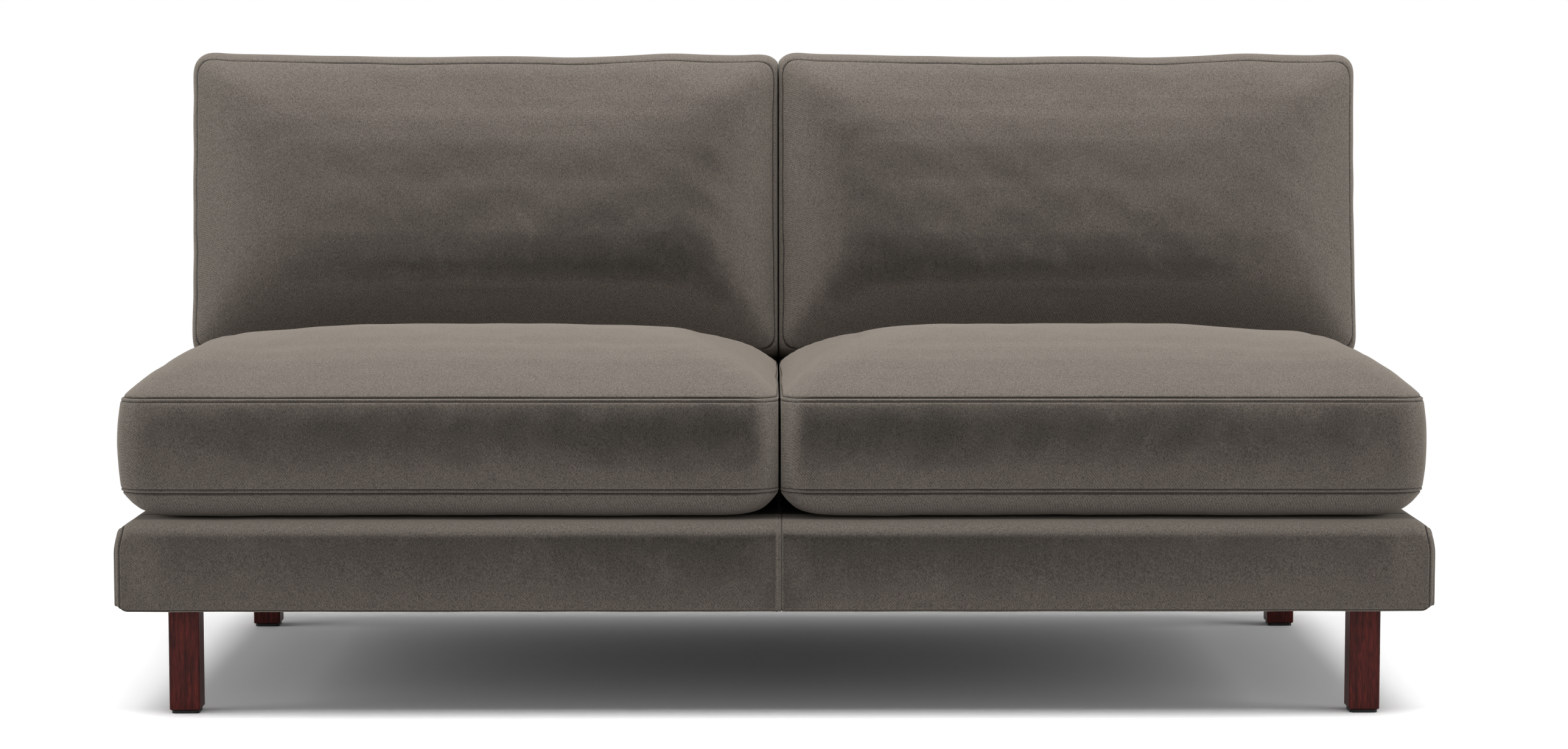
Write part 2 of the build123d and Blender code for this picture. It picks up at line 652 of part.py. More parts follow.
def crown_rise(run):
    """Share of a crown's height reached at a share of its run: steep at the seam, then flat."""
    return 1 - (1 - run) ** CROWN_STEEPNESS


def boxing_steps():
    """Each step up a boxing, as a share of its height and how far it stands beyond its seams there."""
    shares = [step / BOXING_STEPS for step in range(1, BOXING_STEPS)]
    return [(share, BULGE * sin(radians(180 * share))) for share in shares]


SEAM_SPANS = {
    "left": (-WIDTH / 2 + BULGE, CUSHION_SPLIT - SPLIT_GAP / 2 - BULGE),
    "right": (CUSHION_SPLIT + SPLIT_GAP / 2 + BULGE, WIDTH / 2 - CUSHION_SHY - BULGE),
}
DRAW_SLOPE = DRAW_IN / (WIDTH / 4)  # half a long seam is about a quarter of the width


def seat_form(seam_span):
    """A seat cushion's outer form: flat foot, rounded underside, boxing, and a crown falling rearward."""
    seam_front = FRONT_Y + BULGE
    seam_rear = BACK_Y - SEAT_GAP_BEHIND - BULGE
    low_seam = DECK + REST_GAP + SEAT_UNDER
    high_seam = low_seam + SEAT_BOXING

    def section(z, insets):
        """The outline at a height, drawn in by (side, front, rear) insets."""
        side, front, rear = insets
        x_span = (seam_span[0] + side, seam_span[1] - side)
        corner = SEAT_CORNER + CORNER_GROWTH * max(side, 0)
        return pillow_section(Plane.XY.offset(z), x_span, (seam_front + front, seam_rear - rear), corner)

    outlines = []
    for run in reversed(crown_runs(UNDER_STEPS)):
        outlines.append(section(low_seam - SEAT_UNDER * crown_rise(run), [run * SEAT_UNDER_RUN] * 3))
    for share, bulge in boxing_steps():
        outlines.append(section(low_seam + share * SEAT_BOXING, [-bulge] * 3))
    for run in crown_runs(CROWN_STEPS):
        insets = (run * SEAT_SIDE_RUN, run * (PEAK_Y - seam_front), run * SEAT_REAR_RUN)
        outlines.append(section(high_seam + SEAT_CROWN * crown_rise(run), insets))

    with BuildPart() as form:
        loft(outlines, ruled=True)
        split(bisect_by=BEARING, keep=Keep.BOTTOM)
    return form.part


BACK_SEAM = REST_GAP + BACK_REAR_CROWN  # inside back to a back cushion's rear seam
BACK_FRONT = BACK_SEAM + BACK_BOXING  # inside back to its front seam


def foot_height(depth):
    """Where the bearing lies at a distance from the inside back, measured up that slope from the deck."""
    drop = (PEAK_Z - DECK) * cos(pitch) - (BACK_Y - PEAK_Y) * sin(pitch)
    return (drop + depth * sin(pitch - rake)) / cos(pitch - rake)


BACK_CUSHION_TOP = foot_height(BACK_FRONT) + BACK_HEIGHT


def back_form(seam_span):
    """A back cushion's outer form: rear crown, boxing and front crown, pressed flat at its foot."""

    def section(depth, inset):
        """The outline at a distance from the inside back."""
        x_span = (seam_span[0] + inset, seam_span[1] - inset)
        y_span = (foot_height(depth) - BEARING_PRESS + inset, BACK_CUSHION_TOP - inset)
        corner = BACK_CORNER + CORNER_GROWTH * max(inset, 0)
        return pillow_section(INSIDE_BACK.offset(depth), x_span, y_span, corner)

    outlines = []
    for run in reversed(crown_runs(UNDER_STEPS)):
        outlines.append(section(BACK_SEAM - BACK_REAR_CROWN * crown_rise(run), run * BACK_REAR_RUN))
    for share, bulge in boxing_steps():
        outlines.append(section(BACK_SEAM + share * BACK_BOXING, -bulge))
    for run in crown_runs(CROWN_STEPS):
        outlines.append(section(BACK_FRONT + BACK_FRONT_CROWN * crown_rise(run), run * BACK_FRONT_RUN))

    with BuildPart() as form:
        loft(outlines, ruled=True)
        split(bisect_by=BEARING.offset(REST_GAP), keep=Keep.TOP)
    return form.part


def foam_block(plane, x_span, y_span, thickness):
    """A block of cushion foam on a plane, with cut corners."""
    with BuildPart() as block:
        with BuildSketch(plane) as outline:
            with Locations(((x_span[0] + x_span[1]) / 2, (y_span[0] + y_span[1]) / 2)):
                Rectangle(x_span[1] - x_span[0], y_span[1] - y_span[0])
            chamfer(outline.vertices(), CORE_CHAMFER)
        extrude(amount=thickness)
    return block.part


SEAT_CORE_DEPTH = (FRONT_Y + BULGE + CORE_INSET, BACK_Y - BULGE - CORE_INSET)
BACK_CORE_HEIGHT = (foot_height(BACK_FRONT) + CORE_INSET, BACK_CUSHION_TOP - CORE_INSET)
seat_core_plane = Plane.XY.offset(DECK + REST_GAP + SEAT_CORE_LIFT)
back_core_plane = INSIDE_BACK.offset(BACK_SEAM + (BACK_BOXING - BACK_CORE_THICKNESS) / 2)
for name, seam_span in SEAM_SPANS.items():
    core_x = (seam_span[0] + CORE_INSET, seam_span[1] - CORE_INSET)

    with BuildPart() as seat_core:
        add(foam_block(seat_core_plane, core_x, SEAT_CORE_DEPTH, SEAT_CORE_HEIGHT))
    save(f"seat_core_{name}", seat_core.part)

    with BuildPart() as seat_cover:
        add(seat_form(seam_span))
        add(seat_core.part, mode=Mode.SUBTRACT)
    save(f"seat_cover_{name}", seat_cover.part)

    with BuildPart() as back_core:
        add(foam_block(back_core_plane, core_x, BACK_CORE_HEIGHT, BACK_CORE_THICKNESS))
    save(f"back_core_{name}", back_core.part)

    with BuildPart() as back_cover:
        add(back_form(seam_span))
        add(back_core.part, mode=Mode.SUBTRACT)
    save(f"back_cover_{name}", back_cover.part)
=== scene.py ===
import cmath
import contextlib
import itertools
import json
import math

import bpy
import numpy as np
from bpy.props import FloatProperty, FloatVectorProperty, IntProperty, PointerProperty
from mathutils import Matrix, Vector

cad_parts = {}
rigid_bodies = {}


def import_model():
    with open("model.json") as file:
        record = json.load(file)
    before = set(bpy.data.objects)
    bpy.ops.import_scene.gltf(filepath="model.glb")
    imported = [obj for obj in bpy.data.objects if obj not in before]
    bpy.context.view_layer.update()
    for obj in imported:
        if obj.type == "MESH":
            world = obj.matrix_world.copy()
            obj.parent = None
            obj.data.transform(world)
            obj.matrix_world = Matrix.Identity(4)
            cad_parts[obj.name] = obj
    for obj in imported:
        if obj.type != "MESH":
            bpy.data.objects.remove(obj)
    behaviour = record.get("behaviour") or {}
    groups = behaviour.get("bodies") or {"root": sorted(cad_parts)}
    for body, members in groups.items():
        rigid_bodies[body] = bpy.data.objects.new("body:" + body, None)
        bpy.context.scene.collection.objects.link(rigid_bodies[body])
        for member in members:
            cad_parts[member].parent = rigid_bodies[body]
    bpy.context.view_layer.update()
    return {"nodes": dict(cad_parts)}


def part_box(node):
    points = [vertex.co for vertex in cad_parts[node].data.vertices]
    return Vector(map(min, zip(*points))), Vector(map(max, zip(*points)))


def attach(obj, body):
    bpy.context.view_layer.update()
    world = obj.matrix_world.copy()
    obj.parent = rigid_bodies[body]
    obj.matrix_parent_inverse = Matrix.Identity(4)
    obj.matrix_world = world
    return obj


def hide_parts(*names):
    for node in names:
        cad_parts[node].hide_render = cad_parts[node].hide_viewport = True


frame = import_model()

# The looks of an armless sofa in brushed velvet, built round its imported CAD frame: the covers of the
# base and the fixed back, four loose cushions, the linings, and the finish of every piece of the frame.
# Metres, in the frame's own axes: X to the right as one faces the sofa, Y to the rear, Z up.

bl_info = {
    "name": "Armless velvet sofa",
    "version": (1, 0, 0),
    "blender": (4, 5, 0),
    "location": "View3D > Sidebar > Sofa",
    "description": "Covers, cushions and finishes of an armless sofa, laid over its CAD frame",
    "category": "Object",
}

MM = 0.001
SIDES = {"left": -1, "right": 1}

# ---------------------------------------------------------------- places read from the frame
BASE_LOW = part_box("front_cover_left")[0]
SIDE_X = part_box("side_cover_right")[1].x  # outer face of the base's right side
FRONT_Y = BASE_LOW.y
REAR_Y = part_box("outside_back_cover")[1].y
BASE_Z = BASE_LOW.z  # underside of the base
DECK_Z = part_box("deck_cover")[1].z
BACK_TOP_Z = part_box("inside_back_cover")[1].z
RETURN_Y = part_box("deck_cover")[0].y  # where the lining of the deck starts
RETURN_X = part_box("deck_cover")[1].x
FOOT_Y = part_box("deck_cover")[1].y  # foot of the inside back
CENTRE_SEAM_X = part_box("front_cover_left")[1].x
SPLIT_X = (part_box("seat_cover_left")[1].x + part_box("seat_cover_right")[0].x) / 2
SEAT_FRONT_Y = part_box("seat_cover_left")[0].y
SEAT_FOOT_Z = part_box("seat_cover_left")[0].z
SEAT_PEAK_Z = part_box("seat_cover_left")[1].z
CUSHION_TOP_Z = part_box("back_cover_left")[1].z

RAKE = math.radians(7)  # lean of the inside back
PITCH = math.radians(12)  # fall to the rear of the face on which the back cushions stand
PEAK_SETBACK = 292 * MM  # front of a seat cushion to its peak
UP = np.array((0, 0, 1))
BACK_OUT = np.array((0, -math.cos(RAKE), math.sin(RAKE)))  # out of the inside back, to the sitter
BACK_UP = np.array((0, math.sin(RAKE), math.cos(RAKE)))
BEARING_OUT = np.array((0, math.sin(PITCH), math.cos(PITCH)))
BACK_FOOT = np.array((0, FOOT_Y, DECK_Z))
BEARING_POINT = np.array((0, SEAT_FRONT_Y + PEAK_SETBACK, SEAT_PEAK_Z))


# ---------------------------------------------------------------- settings
def linear(hex_colour):
    """An sRGB hex colour as the linear RGBA that a shader takes."""
    channels = [int(hex_colour[i : i + 2], 16) / 255 for i in (0, 2, 4)]
    return (*(c / 12.92 if c <= 0.04045 else ((c + 0.055) / 1.055) ** 2.4 for c in channels), 1.0)


def number(name, description, default, unit="NONE"):
    """A setting that holds a number, with its unit."""
    return FloatProperty(name=name, description=description, default=default, unit=unit)


def length(name, description, default):
    """A setting that holds a length in metres."""
    return number(name, description, default, "LENGTH")


def colour(name, description, hex_colour):
    """A setting that holds a colour."""
    default = linear(hex_colour)
    return FloatVectorProperty(name=name, description=description, size=4, subtype="COLOR", default=default)


class StageSettings(bpy.types.PropertyGroup):
    lens: number("Lens", "Focal length on a 36 mm sensor", 78.65, "CAMERA")
    distance: length("Distance", "Camera to the middle of the base", 5.1965)
    aside: length("Aside", "Camera to the left of the middle", 0.0098)
    height: length("Height", "Camera above the floor", 0.8691)
    pitch: number("Pitch", "How far the camera looks down", math.radians(4.659), "ROTATION")
    yaw: number("Yaw", "How far the camera turns right", math.radians(0.27), "ROTATION")
    top_light: number("Top light", "Power of the softbox overhead", 160, "POWER")
    left_light: number("Left light", "Power of the softbox on the left", 34, "POWER")
    right_light: number("Right light", "Power of the softbox on the right", 42, "POWER")
    front_light: number("Front light", "Power of the softbox in front", 11, "POWER")
    ambient: number("Ambient", "Strength of the even light all round", 0.31)


class CushionSettings(bpy.types.PropertyGroup):
    grain: length("Mesh size", "Edge of the remeshed skin's squares", 9 * MM)
    slack: length("Slack", "How much smaller the skin starts, before it swells", 3 * MM)
    pressure: number("Pressure", "How hard the filling pushes the skin out", 4.0)
    reach: length("Reach", "Furthest that the filling may push the skin", 7 * MM)
    evening: IntProperty(name="Evening", description="Rounds of evening out the filling's push", default=30)
    frames: IntProperty(name="Frames", description="Steps of the simulation", default=20)
    pressed: length("Pressed", "How far a cushion would pass the middle, were it not pressed flat", 6 * MM)
    boxing_swell: length("Boxing swell", "How far a seat cushion's boxing stands out past its seams", 4 * MM)
    foot_taper: length("Foot taper", "How far a seat cushion's foot draws in at each end", 11 * MM)
    crown_fall: length("Crown fall", "How much lower the crown gets on its shoulders", 7 * MM)
    seat_gap: length("Seat gap", "Gap between the seat cushions", 3.6 * MM)
    back_gap: length("Back gap", "Gap between the back cushions", 3.0 * MM)
    seat_out: length("Seat out", "A seat cushion's outer end past its solid's", 3.5 * MM)
    back_out: length("Back out", "A back cushion's outer end past the base's side", -2.0 * MM)
    back_rise: length("Back rise", "A back cushion's top past its solid's", 2.5 * MM)
    fullness: length("Fullness", "How far the filling rounds out a back cushion's face", 12 * MM)
    top_roll: length("Top roll", "How far a back cushion's boxing rises past its seams on top", 8 * MM)
    side_roll: length("Side roll", "How far the boxing stands out past its seams at the sides", 4.5 * MM)
    roll_width: length("Roll width", "Distance from a seam over which the boxing rolls out", 26 * MM)
    seat_boxing_low: length("Lower seat seam", "Underside of a seat cushion to its lower seam", 38 * MM)
    seat_boxing: length("Seat boxing", "Lower seam to upper seam", 133 * MM)
    back_rear_seam: length("Rear seam", "Inside back to a back cushion's rear seam", 20.3 * MM)
    back_boxing: length("Back boxing", "Rear seam to front seam", 155 * MM)
    seam_depth: length("Seam depth", "How deep a sewn seam pulls in", 2.0 * MM)
    topstitch_gap: length("Topstitch", "Seam to the line of topstitching", 5.7 * MM)
    topstitch_depth: length("Topstitch depth", "How deep the topstitching pulls in", 1.1 * MM)


class PanelSettings(bpy.types.PropertyGroup):
    side_share: number("Side share", "How much of the front's swelling the sides have", 0.3)
    thickness: length("Thickness", "Velvet and the foam behind it", 9 * MM)
    swell: length("Swell", "How far a panel stands out at its middle", 4.0 * MM)
    tuck: length("Tuck", "How deep a panel's edge turns into its seam", 2.2 * MM)
    roll: length("Roll", "Width over which an edge turns in", 3 * MM)
    front_round: length("Front round", "Radius of the front top edge", 24 * MM)
    side_round: length("Side round", "Radius of the side top edges", 28 * MM)
    foot_round: length("Foot round", "Radius of the lower corners", 17 * MM)
    corner_seam: length("Corner seam", "Side of the base to the seam on its front", 6 * MM)
    under: length("Turned under", "Velvet turned under the base", 25 * MM)
    stitch: length("Stitch depth", "How deep a line of stitches pulls in", 0.9 * MM)
    hem: length("Hem line", "Lower edge to the hem's stitching", 2.6 * MM)


class FinishSettings(bpy.types.PropertyGroup):
    # The first three velvet colours are painted sheen: the base colour seen head-on, half way round, and at a
    # grazing angle.
    velvet_head_on: colour("Velvet, dark", "Velvet seen head-on", "33302c")
    velvet_half_sheen: colour("Velvet, mauve", "Velvet as the eye turns off it", "514b46")
    velvet_grazing_sheen: colour("Velvet, light", "Velvet at a grazing angle", "5f5953")
    sheen_blend: number("Sheen blend", "How soon the velvet brightens off head-on", 0.969)
    # Painted shade in the seams and lines of stitches.
    velvet_seam_shade: colour("Velvet, seam", "Velvet drawn into a sewn line", "171513")
    leg_dark: colour("Leg stain, dark", "Stained hardwood in its pores", "2b0f0d")
    leg_light: colour("Leg stain, light", "Stained hardwood between its pores", "5f221c")


# ---------------------------------------------------------------- materials
FACTOR, FIRST, SECOND, MIXED = 0, 6, 7, 2  # a Mix node's inputs and output when it mixes colours


def set_inputs(node, inputs):
    """Give each of a node's inputs a value, or a socket to be linked to."""
    for name, value in inputs.items():
        if isinstance(value, bpy.types.NodeSocket):
            node.id_data.links.new(value, node.inputs[name])
        else:
            node.inputs[name].default_value = value


def add_node(tree, kind, inputs, output=0, **settings):
    """Add a node with its settings and links; gives one of its outputs."""
    node = tree.nodes.new("ShaderNode" + kind)
    for name, value in settings.items():
        setattr(node, name, value)
    set_inputs(node, inputs)
    return node.outputs[output]


def new_material(name):
    """A new material, its node tree, and the place of each point for its patterns."""
    material = bpy.data.materials.new(name)
    material.use_nodes = True
    return material, material.node_tree, add_node(material.node_tree, "TexCoord", {}, "Object")


def shaded(tree, pattern, least, most, dark, light):
    """A colour that goes from dark to light as a pattern goes from least to most."""
    share = add_node(tree, "MapRange", {"Value": pattern, "From Min": least, "From Max": most})
    return add_node(tree, "Mix", {FACTOR: share, FIRST: dark, SECOND: light}, MIXED, data_type="RGBA")


def surface(material, inputs, height=None, strength=0.0, depth=0.0):
    """Set a material's shader, with relief from a pattern's height, as deep as depth in metres."""
    if height:
        relief = {"Height": height, "Strength": strength, "Distance": depth}
        inputs["Normal"] = add_node(material.node_tree, "Bump", relief)
    set_inputs(material.node_tree.nodes["Principled BSDF"], inputs)
    return material


def velvet():
    """Brushed cotton velvet: a short pile, mottled where hands have laid the pile over, on a fine diagonal
    twill ground. Its base colour holds painted sheen: dark head-on and bright where the eye grazes it."""
    name = "brushed_cotton_velvet"
    if name in bpy.data.materials:
        return bpy.data.materials[name]
    finish = bpy.context.scene.sofa_finish
    material, tree, place = new_material(name)
    # Painted sheen: the base colour is dark head-on, and brightens soon after the eye leaves that.
    sheen_and_lay = add_node(tree, "LayerWeight", {"Blend": finish.sheen_blend}, "Facing")
    # What else lays the pile over: clouds 250 mm wide, the 50 mm marks of hands, and streaks 5 mm wide
    # that hang down. Each is a noise, the stretch of it that counts, and how much it brightens the pile.
    hanging = add_node(tree, "Mapping", {"Vector": place, "Scale": (1, 1, 0.08)})
    brushed = {"Vector": place, "Scale": 20.0, "Detail": 9.0, "Roughness": 0.72, "Distortion": 0.5}
    for noise, least, most, amount in (
        ({"Vector": place, "Scale": 4.0, "Detail": 2.0}, 0.3, 0.7, 0.06),
        (brushed, 0.52, 0.8, 0.2),
        ({"Vector": hanging, "Scale": 190.0, "Detail": 2.0}, 0.5, 0.8, 0.035),
    ):
        pattern = add_node(tree, "TexNoise", noise)
        share = add_node(tree, "MapRange", {"Value": pattern, "From Min": least, "From Max": most})
        sheen_and_lay = add_node(tree, "Math", {0: share, 1: amount, 2: sheen_and_lay}, operation="MULTIPLY_ADD")
    # Painted sheen, with the pile's lay mixed in: the base colour runs from the head-on colour through the
    # half sheen to the grazing one.
    sheen_turning = shaded(tree, sheen_and_lay, 0.03, 0.43, tuple(finish.velvet_head_on), tuple(finish.velvet_half_sheen))
    pile = shaded(tree, sheen_and_lay, 0.43, 1.03, sheen_turning, tuple(finish.velvet_grazing_sheen))
    # The pile's tufts stand about 1.5 mm apart, on a twill whose lines stand 2.6 mm apart: coarser than
    # real ones, so that they show.
    upright = add_node(tree, "Mapping", {"Vector": place, "Scale": (1, 1, 0.6)})
    tufts = add_node(tree, "TexNoise", {"Vector": upright, "Scale": 700.0, "Detail": 2.0, "Roughness": 0.6})
    tufts = add_node(tree, "MapRange", {"Value": tufts, "From Min": 0.25, "From Max": 0.75})
    ground = {"Vector": place, "Scale": 170.0, "Distortion": 1.5, "Detail": 1.0}
    twill = add_node(tree, "TexWave", ground, "Fac", bands_direction="DIAGONAL")
    fine = add_node(tree, "Mix", {FACTOR: 0.22, FIRST: tufts, SECOND: twill}, MIXED, data_type="RGBA")
    laid = {FACTOR: 0.7, FIRST: pile, SECOND: fine}
    weave = add_node(tree, "Mix", laid, MIXED, data_type="RGBA", blend_type="OVERLAY")
    # Sewn lines are drawn in, and painted shade darkens them; the skins carry where they run.
    sewn = add_node(tree, "Attribute", {}, "Fac", attribute_name="sewn")
    shade = shaded(tree, sewn, 0.0, 1.0, weave, tuple(finish.velvet_seam_shade))
    sheen = {"Sheen Weight": 0.38, "Sheen Roughness": 0.5, "Sheen Tint": linear("cfc5b8")}
    inputs = {"Base Color": shade, "Roughness": 0.9, "Specular IOR Level": 0.05, **sheen}
    return surface(material, inputs, fine, 0.3, 0.5 * MM)


def stained_hardwood():
    """Mahogany-stained hardwood under satin lacquer: dark red-brown, with fine straight grain."""
    finish = bpy.context.scene.sofa_finish
    material, tree, place = new_material("mahogany_stained_hardwood")
    along = add_node(tree, "Mapping", {"Vector": place, "Scale": (1, 1, 0.06)})
    # Figure 5.5 mm wide and pores 0.9 mm wide.
    figure = {"Vector": along, "Scale": 180.0, "Detail": 5.0, "Distortion": 0.4}
    pores = add_node(tree, "TexNoise", {"Vector": along, "Scale": 1100.0, "Detail": 2.0})
    grain = add_node(tree, "Math", {0: add_node(tree, "TexNoise", figure), 1: pores}, operation="MULTIPLY")
    stain = shaded(tree, grain, 0.15, 0.38, tuple(finish.leg_dark), tuple(finish.leg_light))
    inputs = {"Base Color": stain, "Roughness": 0.42, "Specular IOR Level": 0.15}
    return surface(material, inputs, pores, 0.15, 0.1 * MM)


def planed_beech():
    """Kiln-dried beech, planed but unfinished: pale tan with short darker flecks along each board."""
    material, tree, place = new_material("planed_beech")
    along = add_node(tree, "Mapping", {"Vector": place, "Scale": (0.08, 1, 1)})
    # Figure 11 mm wide and flecks 2 mm wide.
    figure = add_node(tree, "TexNoise", {"Vector": along, "Scale": 90.0, "Detail": 4.0, "Distortion": 0.8})
    flecks = add_node(tree, "TexNoise", {"Vector": along, "Scale": 500.0, "Detail": 2.0})
    wood = shaded(tree, figure, 0.3, 0.7, linear("b98c5e"), linear("d6b186"))
    wood = shaded(tree, flecks, 0.6, 0.72, wood, linear("8f6438"))
    return surface(material, {"Base Color": wood, "Roughness": 0.6}, figure, 0.1, 0.2 * MM)


def woven_cloth(name, dark, light, pitch):
    """A plain-woven cloth: two sets of threads, a pitch apart in metres, that cross over and under."""
    material, tree, place = new_material(name)
    across = add_node(tree, "Mapping", {"Vector": place, "Rotation": (0.9, 0, math.pi / 2)})
    scale = math.tau / (20 * pitch)  # a wave texture has 20 radians to a metre
    waves = {"Scale": scale, "Distortion": 0.4}
    warp, weft = (add_node(tree, "TexWave", {"Vector": way, **waves}, "Fac") for way in (place, across))
    threads = add_node(tree, "Math", {0: warp, 1: weft}, operation="MULTIPLY")
    slubs = add_node(tree, "TexNoise", {"Vector": place, "Scale": 40.0, "Detail": 4.0})  # 25 mm apart
    shade = add_node(tree, "Math", {0: threads, 1: slubs}, operation="ADD")
    cloth = shaded(tree, shade, 0.3, 1.4, linear(dark), linear(light))
    return surface(material, {"Base Color": cloth, "Roughness": 0.85}, threads, 0.5, 0.3 * MM)


def bright_metal(name, dark, light, roughness):
    """Drawn or pressed steel: bright, with fine scratches and duller patches."""
    material, tree, place = new_material(name)
    # Patches 17 mm wide and scratches 1 mm wide.
    patches = add_node(tree, "TexNoise", {"Vector": place, "Scale": 60.0, "Detail": 4.0})
    scratches = add_node(tree, "TexNoise", {"Vector": place, "Scale": 900.0, "Detail": 2.0})
    dulling = {"Value": scratches, "To Min": roughness - 0.08, "To Max": roughness + 0.1}
    metal = shaded(tree, patches, 0.3, 0.7, linear(dark), linear(light))
    dull = add_node(tree, "MapRange", dulling)
    return surface(material, {"Base Color": metal, "Metallic": 1.0, "Roughness": dull})


def moulded_plastic():
    """Black moulded polypropylene: near black, satin, with a faint moulded texture and floor scuffs."""
    material, tree, place = new_material("moulded_polypropylene")
    # Texture 0.7 mm wide and scuffs 4.5 mm wide.
    texture = add_node(tree, "TexNoise", {"Vector": place, "Scale": 1500.0, "Detail": 2.0})
    scuffs = add_node(tree, "TexNoise", {"Vector": place, "Scale": 220.0, "Detail": 4.0})
    plastic = shaded(tree, scuffs, 0.5, 0.75, linear("1c1c1c"), linear("2e2e2d"))
    inputs = {"Base Color": plastic, "Roughness": 0.5, "Specular IOR Level": 0.25}
    return surface(material, inputs, texture, 0.2, 0.1 * MM)


def dress(material, slot, *nodes):
    """Give CAD nodes their material."""
    for name in nodes:
        piece = frame["nodes"][name]
        if not piece.material_slots:
            piece.data.materials.append(material)
        for holder in piece.material_slots:
            holder.material = material


# ---------------------------------------------------------------- mesh helpers
def pick(piece):
    """Make one piece the only selected and active one."""
    bpy.ops.object.select_all(action="DESELECT")
    piece.select_set(True)
    bpy.context.view_layer.objects.active = piece


@contextlib.contextmanager
def editing(piece):
    """Edit mode on one piece."""
    pick(piece)
    bpy.ops.object.mode_set(mode="EDIT")
    yield
    bpy.ops.object.mode_set(mode="OBJECT")


def vectors(collection, field):
    """A vector that each item of a collection holds, as an array."""
    values = np.empty(len(collection) * 3, np.float32)
    collection.foreach_get(field, values)
    return values.reshape(-1, 3).astype(float)


def points_of(piece):
    """A mesh's points as an array."""
    return vectors(piece.data.vertices, "co")


def normals_of(piece):
    """A mesh's point normals as an array."""
    return vectors(piece.data.vertex_normals, "vector")


def move_points(piece, points):
    """Put a mesh's points where the array says."""
    piece.data.vertices.foreach_set("co", points.astype(np.float32).ravel())
    piece.data.update()


def apply_modifier(piece, kind, **settings):
    """Add a modifier with its settings, and apply it."""
    pick(piece)
    modifier = piece.modifiers.new(kind.title(), kind)
    for name, value in settings.items():
        setattr(modifier, name, value)
    bpy.ops.object.modifier_apply(modifier=modifier.name)


def copy_of(piece, name):
    """A copy with a mesh of its own."""
    twin = bpy.data.objects.new(name, piece.data.copy())
    bpy.context.scene.collection.objects.link(twin)
    return twin


def flat_grid(name, columns, rows):
    """A flat grid, one metre each way, of this many squares."""
    bpy.ops.object.select_all(action="DESELECT")
    bpy.ops.mesh.primitive_grid_add(x_subdivisions=columns, y_subdivisions=rows, size=1)
    bpy.context.object.name = name
    return bpy.context.object


def smooth_step(value, low, high):
    """0 below low, 1 above high and a smooth rise between them."""
    share = np.clip((value - low) / (high - low), 0, 1)
    return share * share * (3 - 2 * share)


def crease(distance, depth, half_width):
    """How far a seam pulls the skin in at a distance from it: a narrow cleft with rounded shoulders."""
    share = np.clip(np.abs(distance) / half_width, 0, 1)
    return depth * (1 - share) ** 2 * (1 + share)


def ripple(points, wavelength, seed):
    """A smooth unevenness between about -1 and 1, in waves of about this length."""
    dice = np.random.default_rng(seed)
    total = np.zeros(len(points))
    for _ in range(9):
        heading = dice.normal(size=3)
        heading *= dice.uniform(0.6, 1.5) * math.tau / wavelength / np.linalg.norm(heading)
        total += np.sin(points @ heading + dice.uniform(0, math.tau))
    return total / 4


def mark_seam_shade(piece, shares):
    """Note on a skin where its sewn lines run, as a share from 0 to 1 at each point, for the velvet's painted
    shade in them.
    """
    known = piece.data.attributes.get("sewn") or piece.data.attributes.new("sewn", "FLOAT", "POINT")
    before = np.zeros(len(piece.data.vertices), np.float32)
    known.data.foreach_get("value", before)
    known.data.foreach_set("value", np.maximum(before, shares).astype(np.float32))


def finish_piece(piece, material, body, slot, *nodes):
    """Shade a finished piece, give it its only material, and tie it to the frame."""
    pick(piece)
    bpy.ops.object.shade_smooth()
    piece.data.materials.clear()
    piece.data.materials.append(material)
    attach(piece, body)
    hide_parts(*nodes)


# ---------------------------------------------------------------- cushions
# Velvet over wadding, as the Cloth modifier takes it.
CLOTH = {
    "quality": 5,
    "mass": 0.4,
    "tension_stiffness": 20,
    "compression_stiffness": 20,
    "shear_stiffness": 8,
    "bending_stiffness": 2,
    "use_pressure": True,
}
SEAM_ROWS = (-2.6, -1.4, -0.7, 0, 0.7, 1.4, 2.6)  # where a seam's rows of points stand, in millimetres


def outer_skin(cover, name):
    """A copy of a cushion's solid as one closed skin, without the pocket for its foam."""
    piece = copy_of(frame["nodes"][cover], name)
    with editing(piece):
        bpy.ops.mesh.select_mode(type="VERT")
        bpy.ops.mesh.select_all(action="SELECT")
        bpy.ops.mesh.remove_doubles(threshold=0.01 * MM)
        bpy.ops.mesh.select_all(action="DESELECT")
    foremost = int(points_of(piece)[:, 1].argmin())
    piece.data.vertices[foremost].select = True
    with editing(piece):
        bpy.ops.mesh.select_linked()
        bpy.ops.mesh.select_all(action="INVERT")
        bpy.ops.mesh.delete(type="VERT")
    return piece


def evened(piece, field, rounds):
    """Vectors at a mesh's points, each drawn halfway to the mean of its neighbours' a number of times."""
    edges = np.empty(len(piece.data.edges) * 2, np.int32)
    piece.data.edges.foreach_get("vertices", edges)
    ends = edges.reshape(-1, 2)
    here, there = np.concatenate([ends, ends[:, ::-1]]).T
    count = np.bincount(here, minlength=len(field))
    for _ in range(rounds):
        mean = [np.bincount(here, field[there, axis], len(field)) / count for axis in range(3)]
        field = (field + np.stack(mean, axis=1)) / 2
    return field


